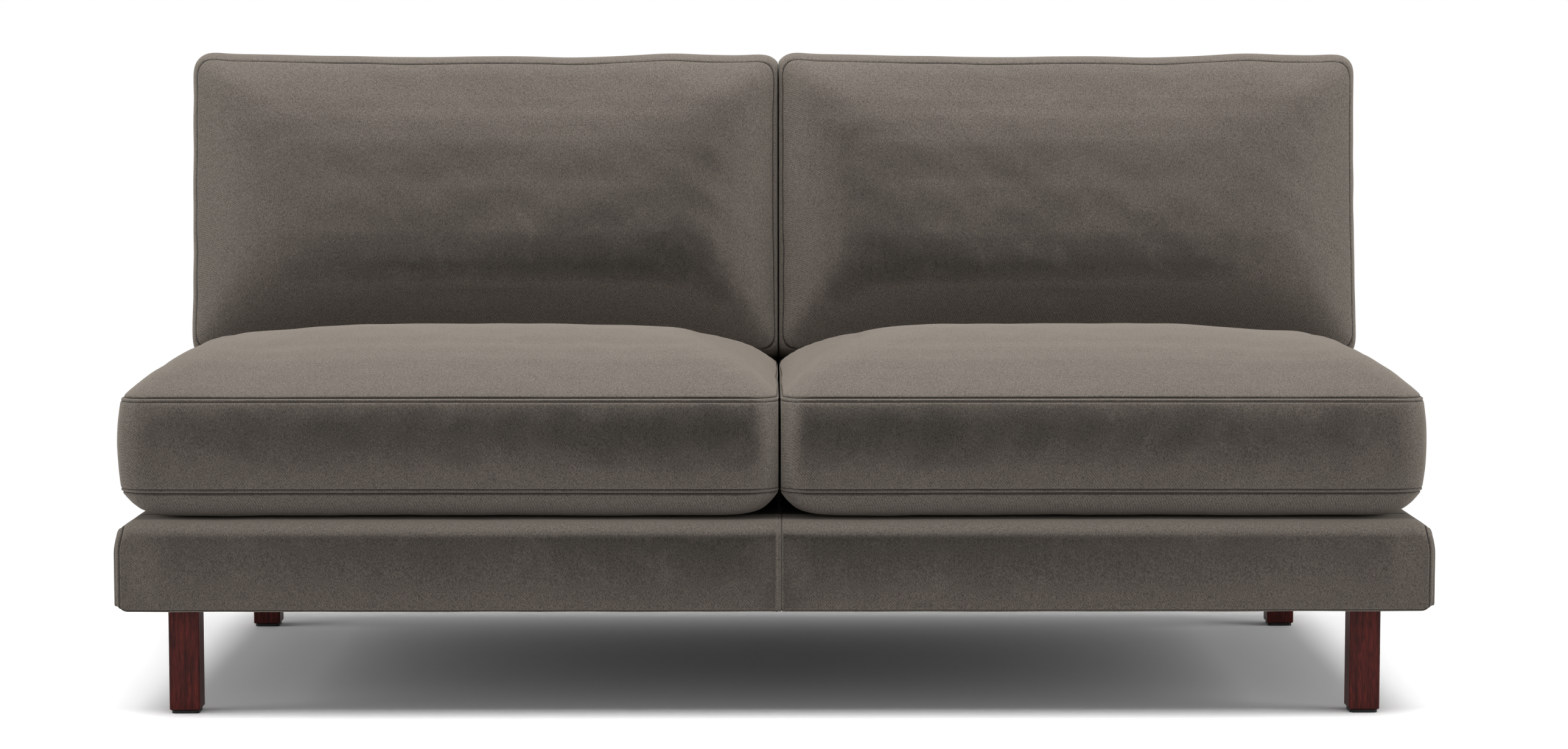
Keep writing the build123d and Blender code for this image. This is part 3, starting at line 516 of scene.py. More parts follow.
def swell(piece, held, settings):
    """Blow the skin up with its filling; held is how firmly each point stays where it is."""
    start = points_of(piece)
    group = piece.vertex_groups.new(name="held")
    for level in np.unique(held.round(1)):
        if level > 0:
            group.add(np.flatnonzero(held.round(1) == level).tolist(), float(level), "REPLACE")
    pick(piece)
    cloth = piece.modifiers.new("Cloth", "CLOTH")
    for name, value in CLOTH.items():
        setattr(cloth.settings, name, value)
    cloth.settings.uniform_pressure_force = settings.pressure
    cloth.settings.vertex_group_mass = group.name
    cloth.settings.effector_weights.gravity = 0
    cloth.collision_settings.use_collision = False
    cloth.point_cache.frame_end = settings.frames
    for step in range(1, settings.frames + 1):
        bpy.context.scene.frame_set(step)
    bpy.ops.object.modifier_apply(modifier=cloth.name)
    bpy.context.scene.frame_set(1)
    moved = points_of(piece) - start
    distance = np.linalg.norm(moved, axis=1, keepdims=True)
    moved = moved * np.minimum(1, settings.reach / np.maximum(distance, 1e-9))
    move_points(piece, start + evened(piece, moved, settings.evening))
    piece.vertex_groups.clear()


def cushion_skin(cover, name, held, settings, seed):
    """A cushion's skin from its solid: remeshed, relaxed, swollen by its filling and made finer."""
    piece = outer_skin(cover, name)
    piece.data.remesh_voxel_size = settings.grain
    bpy.ops.object.voxel_remesh()
    apply_modifier(piece, "SMOOTH", factor=0.5, iterations=7)
    apply_modifier(piece, "DISPLACE", strength=-settings.slack, mid_level=0)
    swell(piece, held(points_of(piece)), settings)
    apply_modifier(piece, "SUBSURF", levels=1, render_levels=1)
    points, normals = points_of(piece), normals_of(piece)
    # Waves 230 mm long, and 70 mm ones on them.
    uneven = 0.8 * MM * ripple(points, 0.23, seed) + 0.35 * MM * ripple(points, 0.07, seed + 1)
    move_points(piece, points + normals * uneven[:, None])
    return piece


def cushion_pair(kind, held, settings, seed):
    """The sides, signs and skins of the left and the right cushion of a kind."""
    left = cushion_skin(f"{kind}_cover_left", f"{kind}_cushion_left", held, settings, seed)
    skins = (left, copy_of(left, f"{kind}_cushion_right"))
    return [(side, sign, skin) for (side, sign), skin in zip(SIDES.items(), skins)]


def shares(values):
    """Values as shares of the way from the least of them to the most."""
    return (values - values.min()) / (values.max() - values.min())


def stretched(points, axis, least, most):
    """Points stretched along an axis to reach from least to most."""
    points = points.copy()
    points[:, axis] = least + shares(points[:, axis]) * (most - least)
    return points


def keep_behind(points, faces):
    """Press points flat against the faces that they may not pass, each a point and its outward normal."""
    for point, outward in np.array(faces, float):
        beyond = np.maximum((points - point) @ outward, 0)
        points = points - beyond[:, None] * outward
    return points


def at_seam(distance):
    """How firmly a seam holds the skin at a distance from it."""
    return 1 - smooth_step(np.abs(distance), 3 * MM, 11 * MM)


def sew(piece, point, normal, settings, strength, topstitched=False):
    """Sew a seam where a plane crosses the skin, on rows of points that are cut there, with topstitching
    on the plane's lower side if asked. strength gives, from the normals, how much of it shows."""
    gap = settings.topstitch_gap
    rows = [row * MM for row in SEAM_ROWS]
    if topstitched:
        rows += [row * MM - gap for row in SEAM_ROWS[:-1]]
    with editing(piece):
        for offset in sorted(rows):
            bpy.ops.mesh.select_all(action="SELECT")
            bpy.ops.mesh.bisect(plane_co=tuple(point + normal * offset), plane_no=tuple(normal))
    points, normals = points_of(piece), normals_of(piece)
    distance = (points - point) @ normal
    inward = crease(distance, settings.seam_depth, 2.4 * MM)
    # How far painted shade darkens the seam's line.
    line = crease(distance, 1, 1.4 * MM)
    if topstitched:
        # The velvet stands up a little between the two lines.
        inward = inward + crease(distance + gap, settings.topstitch_depth, 2.0 * MM)
        inward = inward - crease(distance + gap / 2, 0.5 * MM, gap / 2)
        line = np.maximum(line, crease(distance + gap, 0.8, 1.4 * MM))
    shown = strength(normals)
    move_points(piece, points - normals * (inward * shown)[:, None])
    mark_seam_shade(piece, line * shown)


class SOFA_OT_seat_cushions(bpy.types.Operator):
    """Make the two crowned seat cushions: boxing between two seams, topstitched above and below"""

    bl_idname = "sofa.seat_cushions"
    bl_label = "Seat cushions"

    SHOULDER, SHOULDER_WIDTH = 0.58, 0.18  # where the crown is lowered, as shares of the half width
    SIDE_SHARES = 0.3, 1.2  # how much of that the inner and the outer shoulder get
    CROWN_DROP = 2 * MM  # how much the whole crown is lowered
    CLEARANCE = 1 * MM  # to the inside back, against which its rear is pressed flat

    def execute(self, context):
        settings = context.scene.sofa_cushions
        low_seam = SEAT_FOOT_Z + settings.seat_boxing_low
        high_seam = low_seam + settings.seat_boxing

        def held(points):
            """The foot on the deck, the face under the back cushion and both seams stay in place."""
            on_deck = 1 - smooth_step(points[:, 2], SEAT_FOOT_Z + 6 * MM, SEAT_FOOT_Z + 20 * MM)
            bearing = (points - BEARING_POINT) @ BEARING_OUT
            under_back = smooth_step(points[:, 1], 0.05, 0.12) * smooth_step(bearing, -12 * MM, -6 * MM)
            seams = [at_seam(points[:, 2] - seam) for seam in (low_seam, high_seam)]
            return np.maximum.reduce([on_deck, under_back, *seams])

        def strength(normals):
            """The seams fade on the pressed faces, and never cross the top."""
            return 1 - smooth_step(np.abs(normals[:, 2]), 0.8, 0.95)

        for side, sign, piece in cushion_pair("seat", held, settings, 10):
            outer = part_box(f"seat_cover_{side}")[0 if side == "left" else 1].x + sign * settings.seat_out
            ends = sorted((outer, SPLIT_X - sign * settings.pressed))
            points, normals = points_of(piece), normals_of(piece)
            share = np.clip((points[:, 2] - low_seam) / (high_seam - low_seam), 0, 1)
            points[:, 1] += normals[:, 1] * settings.boxing_swell * (1 - np.abs(2 * share - 1) ** 3)
            points = stretched(stretched(points, 0, *ends), 1, SEAT_FRONT_Y, FOOT_Y + 2 * MM)
            points = self.tapered(points, sign, low_seam, high_seam, settings)
            faces = [
                ((SPLIT_X + sign * settings.seat_gap / 2, 0, 0), (-sign, 0, 0)),
                (BEARING_POINT, BEARING_OUT),
                ((0, FOOT_Y - self.CLEARANCE, 0), (0, 1, 0)),
                ((0, 0, SEAT_FOOT_Z), -UP),
            ]
            move_points(piece, keep_behind(points, faces))
            sew(piece, UP * high_seam, UP, settings, strength, topstitched=True)
            sew(piece, UP * low_seam, -UP, settings, strength, topstitched=True)
            nodes = (f"seat_cover_{side}", f"seat_core_{side}")
            finish_piece(piece, velvet(), f"seat_cushion_{side}", "velvet", *nodes)
        return {"FINISHED"}

    def tapered(self, points, sign, low_seam, high_seam, settings):
        """Points drawn in towards the cushion's middle below the lower seam, and lowered on the crown's
        shoulders, most on the outer one."""
        across = 2 * shares(points[:, 0]) - 1
        below = np.clip((low_seam - points[:, 2]) / (low_seam - SEAT_FOOT_Z), 0, 1)
        points[:, 0] -= across * settings.foot_taper * below
        across = 2 * shares(points[:, 0]) - 1
        above = np.clip((points[:, 2] - high_seam) / (SEAT_PEAK_Z - high_seam), 0, 1)
        shoulder = np.exp(-(((np.abs(across) - self.SHOULDER) / self.SHOULDER_WIDTH) ** 2))
        inner, outer = self.SIDE_SHARES
        most = inner + (outer - inner) * smooth_step(sign * across, -0.3, 0.3)
        points[:, 2] -= (settings.crown_fall * shoulder * most + self.CROWN_DROP) * above
        return points


class SOFA_OT_back_cushions(bpy.types.Operator):
    """Make the two boxed back cushions that stand on the seat cushions and lean on the fixed back"""

    bl_idname = "sofa.back_cushions"
    bl_label = "Back cushions"

    CLEARANCE = 0.3 * MM  # to the seat cushion and to the fixed back
    TOUCH = 0.1 * MM  # half the gap between the two where their rear parts touch

    # The top's unevenness: place across the cushion, half width, rise in millimetres.
    WAVES = ((0.03, 0.03, 3), (0.36, 0.09, -1.2), (0.67, 0.08, -1.8), (0.82, 0.05, 3), (0.93, 0.035, -1.2))

    # The face's form: heights above the seat's peak, 1 at the top, and there the share of the fullness.
    FACE_HEIGHTS = (-0.15, -0.05, 0.03, 0.1, 0.18, 0.3, 0.42, 0.55, 0.67, 0.78, 0.88, 1)
    FACE_SHARES = (-1.2, -0.5, 0.35, 0.8, 1, 0.82, 0.44, -0.09, -0.5, -0.72, -0.5, 0)

    def execute(self, context):
        settings = context.scene.sofa_cushions
        rear = BACK_FOOT + BACK_OUT * settings.back_rear_seam
        front = rear + BACK_OUT * settings.back_boxing
        foot = BEARING_POINT + BEARING_OUT * self.CLEARANCE
        faces = [(foot, -BEARING_OUT), (BACK_FOOT + BACK_OUT * self.CLEARANCE, -BACK_OUT)]

        def held(points):
            """The foot, the face against the fixed back and both seams stay in place."""
            on_seat = 1 - smooth_step((points - foot) @ BEARING_OUT, 5 * MM, 16 * MM)
            on_back = 1 - smooth_step((points - BACK_FOOT) @ BACK_OUT, 4 * MM, 12 * MM)
            seams = [at_seam((points - seam) @ BACK_OUT) for seam in (rear, front)]
            return np.maximum.reduce([on_seat, on_back, *seams])

        def strength(normals):
            """The seams fade where the foot is pressed flat."""
            return 1 - smooth_step(-(normals @ BEARING_OUT), 0.8, 0.95)

        for side, sign, piece in cushion_pair("back", held, settings, 20):
            ends = sorted((sign * (SIDE_X + settings.back_out), SPLIT_X - sign * settings.pressed))
            points = points_of(piece)
            upright = points[:, 2].min(), CUSHION_TOP_Z + settings.back_rise
            points = self.rolled(points, normals_of(piece), settings)
            points = stretched(stretched(points, 0, *ends), 2, *upright)
            points = keep_behind(self.filled(piece, self.waved(points), settings), faces)
            # The two touch at the rear, and draw apart towards their faces.
            apart = 1 - smooth_step((front - points) @ BACK_OUT, 15 * MM, 70 * MM)
            apart = self.TOUCH + (settings.back_gap / 2 - self.TOUCH) * apart
            points[:, 0] += sign * np.maximum(-sign * (points[:, 0] - SPLIT_X) + apart, 0)
            move_points(piece, points)
            sew(piece, front, -BACK_OUT, settings, strength)
            sew(piece, rear, BACK_OUT, settings, strength)
            nodes = (f"back_cover_{side}", f"back_core_{side}")
            finish_piece(piece, velvet(), f"back_cushion_{side}", "velvet", *nodes)
        return {"FINISHED"}

    def rolled(self, points, normals, settings):
        """Points of the boxing rolled out beyond its two seams."""
        depth = (points - BACK_FOOT) @ BACK_OUT - settings.back_rear_seam
        near = np.minimum(depth, settings.back_boxing - depth)
        roll = 1 - (1 - np.clip(near / settings.roll_width, 0, 1)) ** 2
        outward = normals - (normals @ BACK_OUT)[:, None] * BACK_OUT
        upward = np.clip(outward @ BACK_UP, 0, 1)
        height = settings.side_roll + (settings.top_roll - settings.side_roll) * upward
        return points + (roll * height)[:, None] * outward

    def waved(self, points):
        """Points with the uppermost 160 mm raised and lowered along the cushion."""
        across, top = shares(points[:, 0]), points[:, 2].max()
        rise = sum(height * np.exp(-(((across - at) / width) ** 2)) for at, width, height in self.WAVES)
        points[:, 2] += rise * MM * smooth_step(points[:, 2], top - 0.16, top - 0.01)
        return points

    def filled(self, piece, points, settings):
        """Points of the front face formed by the filling, which settles low down."""
        seam = settings.back_rear_seam + settings.back_boxing
        height = (points[:, 2] - SEAT_PEAK_Z) / (points[:, 2].max() - SEAT_PEAK_Z)
        across = 2 * shares(points[:, 0]) - 1
        out = np.interp(height, self.FACE_HEIGHTS, self.FACE_SHARES) * (1 - np.abs(across) ** 3)
        out *= settings.fullness * smooth_step((points - BACK_FOOT) @ BACK_OUT, seam - 5 * MM, seam + 30 * MM)
        return points + evened(piece, out[:, None] * BACK_OUT, settings.evening)


# ---------------------------------------------------------------- panels of the base and the fixed back
EDGE_ROWS = (0, 0.4, 0.9, 1.4, 2.0, 2.7, 3.5, 5.0, 7.5, 11.0)  # places near a seam, in millimetres
LAP_ROWS = (*np.arange(0, 9, 0.5), 10, 12, 15)  # finer, for the lapped seam in the middle


def rounded_path(corners, step=6 * MM):
    """Points along a line through flat corners, each (a, b, radius), rounded at those radii. They stand
    at most a step apart, and closer on the rounds. As complex numbers they turn by a product."""
    places, radii = [complex(a, b) for a, b, _ in corners], [radius for _, _, radius in corners]
    points = [places[0]]
    for before, here, after, radius in zip(places, places[1:], places[2:], radii[1:]):
        into, out = (here - before) / abs(here - before), (after - here) / abs(after - here)
        turn = cmath.phase(out / into)
        start = here - into * radius * math.tan(abs(turn) / 2)
        centre = start + into * 1j * math.copysign(radius, turn)
        arc = centre + (start - centre) * np.exp(1j * turn * np.arange(9) / 8)
        points += list(arc) if radius else [here]
    points.append(places[-1])
    filled = [points[0]]
    for here, ahead in zip(points, points[1:]):
        pieces = max(1, math.ceil(abs(ahead - here) / step))
        filled += [here + (ahead - here) * (i + 1) / pieces for i in range(pieces)]
    return np.stack([np.real(filled), np.imag(filled)], axis=1)


def spread(low, high, step=8 * MM, edge=EDGE_ROWS):
    """Places from low to high, an even step apart and closer together towards both ends."""
    near = [e * MM for e in edge]
    inner = np.linspace(low + near[-1], high - near[-1], max(2, round((high - low) / step)))
    return np.concatenate([[low + e for e in near[:-1]], inner, [high - e for e in reversed(near[:-1])]])


def distances(points):
    """How far each of a panel's points is from its first row and from its first column."""
    down = np.linalg.norm(np.diff(points, axis=0, prepend=points[:1]), axis=2)
    over = np.linalg.norm(np.diff(points, axis=1, prepend=points[:, :1]), axis=2)
    return np.cumsum(down, axis=0), np.cumsum(over, axis=1)


def fade(over, near, far):
    """1 inside a panel, falling to 0 at its first and last column, over these widths."""
    return smooth_step(over, 0, near) * smooth_step(over[:, -1:] - over, 0, far)


def round_fall(place, edge, radius):
    """How far a round has fallen from the flat, at a place near the edge where it ends."""
    past = np.clip(place - (edge - radius), 0, radius)
    return radius - np.sqrt(radius**2 - past**2)


def lay_panel(name, points, facing, tucked, settings, nodes=(), swelling=0, stitched=0):
    """A panel of velvet and foam that stands for these nodes, from rows of points on its form, as
    (rows, columns, 3). facing is the way that it faces, and tucked says which of its edges, (first row,
    last row, first column, last column), turn into a seam. swelling and stitched are how far it stands
    out, and how far a line of stitches pulls it in, at each point."""
    rows, columns = points.shape[:2]
    piece = flat_grid(name, columns - 1, rows - 1)
    flat = (points_of(piece)[:, :2] + 0.5) * (columns - 1, rows - 1)
    column, row = np.rint(flat).astype(int).T
    move_points(piece, points[row, column])
    if (normals_of(piece) @ np.array(facing, float)).mean() < 0:
        with editing(piece):
            bpy.ops.mesh.select_all(action="SELECT")
            bpy.ops.mesh.flip_normals()
    down, over = distances(points)
    # lines: how far painted shade darkens each tucked seam and line of stitches.
    outward, lines = np.zeros((2, rows, columns))
    for distance, sewn in zip((down, down[-1:] - down, over, over[:, -1:] - over), tucked):
        if sewn:
            share = np.clip(1 - distance / settings.roll, 0, 1)
            outward = np.minimum(outward, settings.tuck * (np.sqrt(1 - share**2) - 1))
            lines = np.maximum(lines, crease(distance, 1, 1.6 * MM))
    outward = outward + swelling - stitched
    lines = np.maximum(lines, stitched / settings.stitch)
    placed = points_of(piece)
    uneven = 0.35 * MM * ripple(placed, 0.16, len(name))
    offset = outward[row, column] + uneven
    move_points(piece, placed + normals_of(piece) * offset[:, None])
    mark_seam_shade(piece, lines[row, column])
    apply_modifier(piece, "SOLIDIFY", thickness=settings.thickness, offset=-1)
    finish_piece(piece, velvet(), "frame", "velvet", *nodes)


class SOFA_OT_base_panels(bpy.types.Operator):
    """Make the padded velvet panels of the base: two in front, one on each side and the deck's borders"""

    bl_idname = "sofa.base_panels"
    bl_label = "Base panels"

    # The lapped seam in the middle: its ridges' places, heights and half widths in millimetres.
    LAP = ((6.4, 0.8, 2.2), (3.9, -0.5, 1.5), (1.9, 0.5, 1.1))
    BORDER_SEAM = math.radians(50)  # how far up a side's round the seam with the deck's border lies
    SHORT = 0.5 * MM  # how far a side stops before the rear panel's face

    def execute(self, context):
        settings = context.scene.sofa_panels
        for side, sign in SIDES.items():
            seam = self.front(side, sign, settings)
            self.flank(side, sign, seam, settings)
            self.deck_border(side, sign, settings)
        return {"FINISHED"}

    def front(self, side, sign, settings):
        """One half of the front, from the centre seam to the corner seam, over the edge of the deck.
        Gives the corner seam's points, as on the right."""
        corners = (
            (FRONT_Y + settings.under, BASE_Z, 0),
            (FRONT_Y, BASE_Z, 4 * MM),
            (FRONT_Y, BASE_Z + 5 * MM, 0),
            (FRONT_Y, DECK_Z, settings.front_round),
            (RETURN_Y, DECK_Z, 0),
        )
        depths, heights = rounded_path(corners).T
        # The corner seam draws in over the top, and runs as a mitre under the base.
        drawn_in = 4 * MM * smooth_step(heights, DECK_Z - 36 * MM, DECK_Z - 5 * MM)
        outer = SIDE_X - settings.corner_seam - drawn_in
        mitred = np.minimum(outer, SIDE_X - (depths - FRONT_Y))
        outer = np.where(heights < BASE_Z + 1 * MM, mitred, outer)
        shares = spread(0, SIDE_X, edge=LAP_ROWS) / SIDE_X
        x = CENTRE_SEAM_X + np.outer(sign * outer - CENTRE_SEAM_X, shares)
        y, z = (np.repeat(line[:, None], len(shares), axis=1) for line in (depths, heights))
        falling = smooth_step(z, BASE_Z + 46 * MM, DECK_Z - 16 * MM)
        z = z - round_fall(np.abs(x), SIDE_X, settings.side_round) * falling
        rising = 1 - smooth_step(z, BASE_Z, BASE_Z + 30 * MM)
        z = z + round_fall(np.abs(x), SIDE_X, settings.foot_round) * rising
        points = np.stack([x, y, z], axis=2)
        _, over = distances(points)
        swelling = self.bulge(points, settings) * fade(over, 0.05, 0.06)
        if side == "left":
            swelling += sum(crease(over - at * MM, height * MM, width * MM) for at, height, width in self.LAP)
        name, nodes = f"front_panel_{side}", (f"front_cover_{side}", "front_pad")
        hem = self.hem(points, settings)
        lay_panel(name, points, (0, -1, 0), (0, 1, 1, 1), settings, nodes, swelling, hem)
        return points[:, -1] * np.array((sign, 1, 1))

    def bulge(self, points, settings):
        """How far the base's front and sides stand out, most at half height."""
        share = np.clip((points[..., 2] - BASE_Z) / (DECK_Z - BASE_Z), 0, 1)
        return settings.swell * (1 - (2 * share - 1) ** 2)

    def hem(self, points, settings):
        """How far the line of stitches along the lower edge pulls a panel in."""
        x, y, z = np.moveaxis(points, 2, 0)
        foot = BASE_Z + round_fall(np.abs(x), SIDE_X, settings.foot_round)
        outside = (y < FRONT_Y + 3 * MM) | (np.abs(x) > SIDE_X - 3 * MM)
        return crease(z - foot - settings.hem, settings.stitch, 1.5 * MM) * outside

    def on_round(self, angle, settings):
        """The point on the round of a side's top edge at an angle up from the side."""
        reach = settings.side_round
        return SIDE_X - reach * (1 - math.cos(angle)), DECK_Z - reach * (1 - math.sin(angle))

    def flank(self, side, sign, seam, settings):
        """One side, from the corner seam on the front to the rear, and up round the edge of the deck."""
        round_z, corner_x = DECK_Z - settings.side_round, SIDE_X - settings.corner_seam
        corners = (
            (SIDE_X - settings.under, BASE_Z, 0),
            (SIDE_X, BASE_Z, settings.foot_round),
            (SIDE_X, round_z, 0),
        )
        arc = np.linspace(0, self.BORDER_SEAM, 9)[1:]
        rows = [*rounded_path(corners), *(self.on_round(angle, settings) for angle in arc)]
        top_z = rows[-1][1]
        climbing = seam[: np.argmax(seam[:, 2]) + 1]
        lowest = BASE_Z + round_fall(corner_x, SIDE_X, settings.foot_round)
        climbing = climbing[climbing[:, 2] > lowest + 0.01 * MM]
        along = spread(0, REAR_Y - FRONT_Y)
        grid = []
        for x_row, z_row in rows:
            start_x, start_y = (float(np.interp(z_row, climbing[:, 2], climbing[:, axis])) for axis in (0, 1))
            if x_row < start_x and z_row < round_z:
                start_x, start_y = x_row, FRONT_Y + (SIDE_X - x_row)  # on the mitre under the base
            # A quarter turn from the front on to the side, then straight to the rear.
            turn = max(x_row - start_x, 1e-6)
            angle = np.minimum(along / (math.pi / 2 * turn), 1) * math.pi / 2
            x = start_x + turn * np.sin(angle)
            y = turn * (1 - np.cos(angle)) + np.maximum(along - math.pi / 2 * turn, 0)
            y = start_y + y * (REAR_Y - self.SHORT - start_y) / y[-1]
            # Behind the deck the side ends lower, under the fixed back's border, and is upright.
            behind = smooth_step(y, FOOT_Y - 14 * MM, FOOT_Y + 2 * MM)
            squeezed = BASE_Z + (z_row - BASE_Z) * (round_z - BASE_Z) / (top_z - BASE_Z)
            z = z_row + (squeezed - z_row) * behind
            if z_row > BASE_Z + settings.foot_round:
                x = x + (SIDE_X - x) * behind
            grid.append(np.stack([sign * x, y, z], axis=1))

        points = np.array(grid)
        _, over = distances(points)
        swelling = self.bulge(points, settings) * fade(over, 0.05, 0.05) * settings.side_share
        name, nodes = f"side_panel_{side}", (f"side_cover_{side}", f"side_pad_{side}")
        hem = self.hem(points, settings)
        lay_panel(name, points, (sign, 0, 0), (0, 1, 1, 1), settings, nodes, swelling, hem)

    def deck_border(self, side, sign, settings):
        """The velvet border of the deck, from the seam on the side's round to the lining."""
        rows = [self.on_round(angle, settings) for angle in np.linspace(self.BORDER_SEAM, math.pi / 2, 7)]
        rows += [(x, DECK_Z) for x in np.linspace(rows[-1][0], RETURN_X, 12)[1:]]
        points = np.array([[(sign * x, y, z) for y in spread(RETURN_Y, FOOT_Y)] for x, z in rows])
        lay_panel(f"deck_border_{side}", points, (0, 0, 1), (1, 0, 1, 0), settings)


class SOFA_OT_fixed_back(bpy.types.Operator):
    """Make the padded velvet panels of the fixed back: inside, outside and a border on each side"""

    bl_idname = "sofa.fixed_back"
    bl_label = "Fixed back"

    FRONT_ROUND, REAR_ROUND = 18 * MM, 12 * MM  # radii of the top edges
    INSET = 1.5 * MM  # the panels' ends inside the borders' faces
    BORDER = 0.2  # about how wide a border is, which sets how its places are spread

    def execute(self, context):
        settings = context.scene.sofa_panels
        across = spread(-SIDE_X + self.INSET, SIDE_X - self.INSET, step=16 * MM)
        seam_y = REAR_Y - self.REAR_ROUND
        border_foot = DECK_Z - settings.side_round
        inside_foot = border_foot - 2 * MM
        inside = (
            (self.raked_y(inside_foot), inside_foot, 0),
            (self.raked_y(BACK_TOP_Z), BACK_TOP_Z, self.FRONT_ROUND),
            (seam_y, BACK_TOP_Z, 0),
        )
        outside = (
            (seam_y, BACK_TOP_Z, 0),
            (REAR_Y, BACK_TOP_Z, self.REAR_ROUND * 0.98),  # starts just past the seam
            (REAR_Y, BASE_Z, 4 * MM),
            (REAR_Y - settings.under, BASE_Z, 0),
        )
        for name, corners, sign, tucked, nodes in (
            ("inside_back_panel", inside, -1, (0, 1, 1, 1), ("inside_back_cover", "back_pad")),
            ("outside_back_panel", outside, 1, (1, 0, 1, 1), ("outside_back_cover",)),
        ):
            path = rounded_path(corners, step=12 * MM)
            points = np.array([[(x, y, z) for x in across] for y, z in path])
            lay_panel(name, points, (0, sign, 0), tucked, settings, nodes, self.swelling(points, settings))

        heights = spread(border_foot, BACK_TOP_Z)
        starts = self.raked_y(heights) + round_fall(heights, BACK_TOP_Z, self.FRONT_ROUND)
        ends = REAR_Y - round_fall(heights, BACK_TOP_Z, self.REAR_ROUND)
        y = starts[:, None] + np.outer(ends - starts, spread(0, self.BORDER) / self.BORDER)
        z = np.repeat(heights[:, None], y.shape[1], axis=1)
        for side, sign in SIDES.items():
            points = np.stack([np.full_like(y, sign * SIDE_X), y, z], axis=2)
            name, nodes = f"back_border_panel_{side}", (f"back_border_{side}",)
            swelling = self.swelling(points, settings)
            lay_panel(name, points, (sign, 0, 0), (1, 1, 1, 1), settings, nodes, swelling)
        return {"FINISHED"}

    def swelling(self, points, settings):
        """How far a panel of the back stands out: flat at its edges."""
        down, over = distances(points)
        ends = smooth_step(down, 0.02, 0.1) * smooth_step(down[-1:] - down, 0, 0.08)
        return settings.swell * fade(over, 0.12, 0.12) * ends

    def raked_y(self, z):
        """Depth of the inside back's face at a height."""
        return FOOT_Y + (z - DECK_Z) * math.tan(RAKE)


# ---------------------------------------------------------------- linings
class SOFA_OT_linings(bpy.types.Operator):
    """Make the lining of the deck under the seat cushions and the dust cover under the base"""

    bl_idname = "sofa.linings"
    bl_label = "Linings"

    SQUARES = 120, 60  # of a sheet's mesh, across and deep

    def execute(self, context):
        width, depth = 2 * RETURN_X, FOOT_Y - RETURN_Y
        centre = (0, (RETURN_Y + FOOT_Y) / 2, DECK_Z - 0.6 * MM)
        piece = self.sheet("deck_lining", centre, (width, depth), 1.5 * MM)
        apply_modifier(piece, "SOLIDIFY", thickness=1.2 * MM, offset=-1)
        lining = woven_cloth("cotton_deck_lining", "3c3833", "5a554d", 1.2 * MM)
        finish_piece(piece, lining, "frame", "deck_lining", "deck_cover", "deck_pad")

        low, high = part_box("dust_cover")
        width, depth = high.x - low.x, high.y - low.y
        piece = self.sheet("cambric_dust_cover", (0, 0, BASE_Z + 1.6 * MM), (width, depth), 2.5 * MM)
        self.cut_leg_holes(piece)
        apply_modifier(piece, "SOLIDIFY", thickness=0.6 * MM, offset=0)
        cambric = woven_cloth("black_cambric", "0c0c0c", "1d1d1e", 1.0 * MM)
        finish_piece(piece, cambric, "frame", "cambric", "dust_cover")
        return {"FINISHED"}

    def sheet(self, name, centre, size, sag):
        """A flat sheet with its middle a little lower than its held edges."""
        piece = flat_grid(name, *self.SQUARES)
        shares = points_of(piece)
        points = shares * np.array((*size, 0)) + np.array(centre)
        points[:, 2] -= sag * (1 - (2 * shares[:, 0]) ** 4) * (1 - (2 * shares[:, 1]) ** 4)
        move_points(piece, points)
        return piece

    def cut_leg_holes(self, piece):
        """Cut a sheet's edges to each leg and take out what the leg covers."""
        legs = [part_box(name) for name in frame["nodes"] if name.startswith(("leg_front", "leg_rear"))]
        with editing(piece):
            for box, normal in itertools.product(legs, ((1, 0, 0), (0, 1, 0))):
                for corner in box:
                    bpy.ops.mesh.select_all(action="SELECT")
                    bpy.ops.mesh.bisect(plane_co=corner, plane_no=normal)
            bpy.ops.mesh.select_all(action="DESELECT")
        for face in piece.data.polygons:
            x, y = face.center.x, face.center.y
            face.select = any(low.x < x < high.x and low.y < y < high.y for low, high in legs)
        with editing(piece):
            bpy.ops.mesh.select_mode(type="FACE")
            bpy.ops.mesh.delete(type="FACE")


# ---------------------------------------------------------------- frame and legs
class SOFA_OT_woodwork(bpy.types.Operator):
    """Finish the stained legs, their glides and the hardwood frame"""

    bl_idname = "sofa.woodwork"
    bl_label = "Woodwork"

    def execute(self, context):
        nodes = frame["nodes"]
        dress(stained_hardwood(), "leg_wood", *[n for n in nodes if n.startswith(("leg_front", "leg_rear"))])
        dress(moulded_plastic(), "glide_plastic", *[n for n in nodes if n.startswith("glide_")])
        wood = [n for n in nodes if "rail" in n or "post" in n or n in ("centre_stretcher", "corner_blocks")]
        dress(planed_beech(), "frame_wood", *wood)
        return {"FINISHED"}


class SOFA_OT_hardware(bpy.types.Operator):
    """Finish the springs, clips, fasteners and webbing"""

    bl_idname = "sofa.hardware"
    bl_label = "Springs, webbing and fasteners"

    def execute(self, context):
        dress(bright_metal("oiled_spring_steel", "4a4a4c", "77777a", 0.35), "spring_steel", "seat_springs")
        plated = bright_metal("zinc_plated_steel", "9a9b98", "c4c5c2", 0.32)
        dress(plated, "plated_steel", "spring_clips", "leg_bolts", "leg_tee_nuts")
        dress(woven_cloth("elasticated_webbing", "5b4a33", "a58b63", 2.0 * MM), "webbing", "back_webbing")
        return {"FINISHED"}


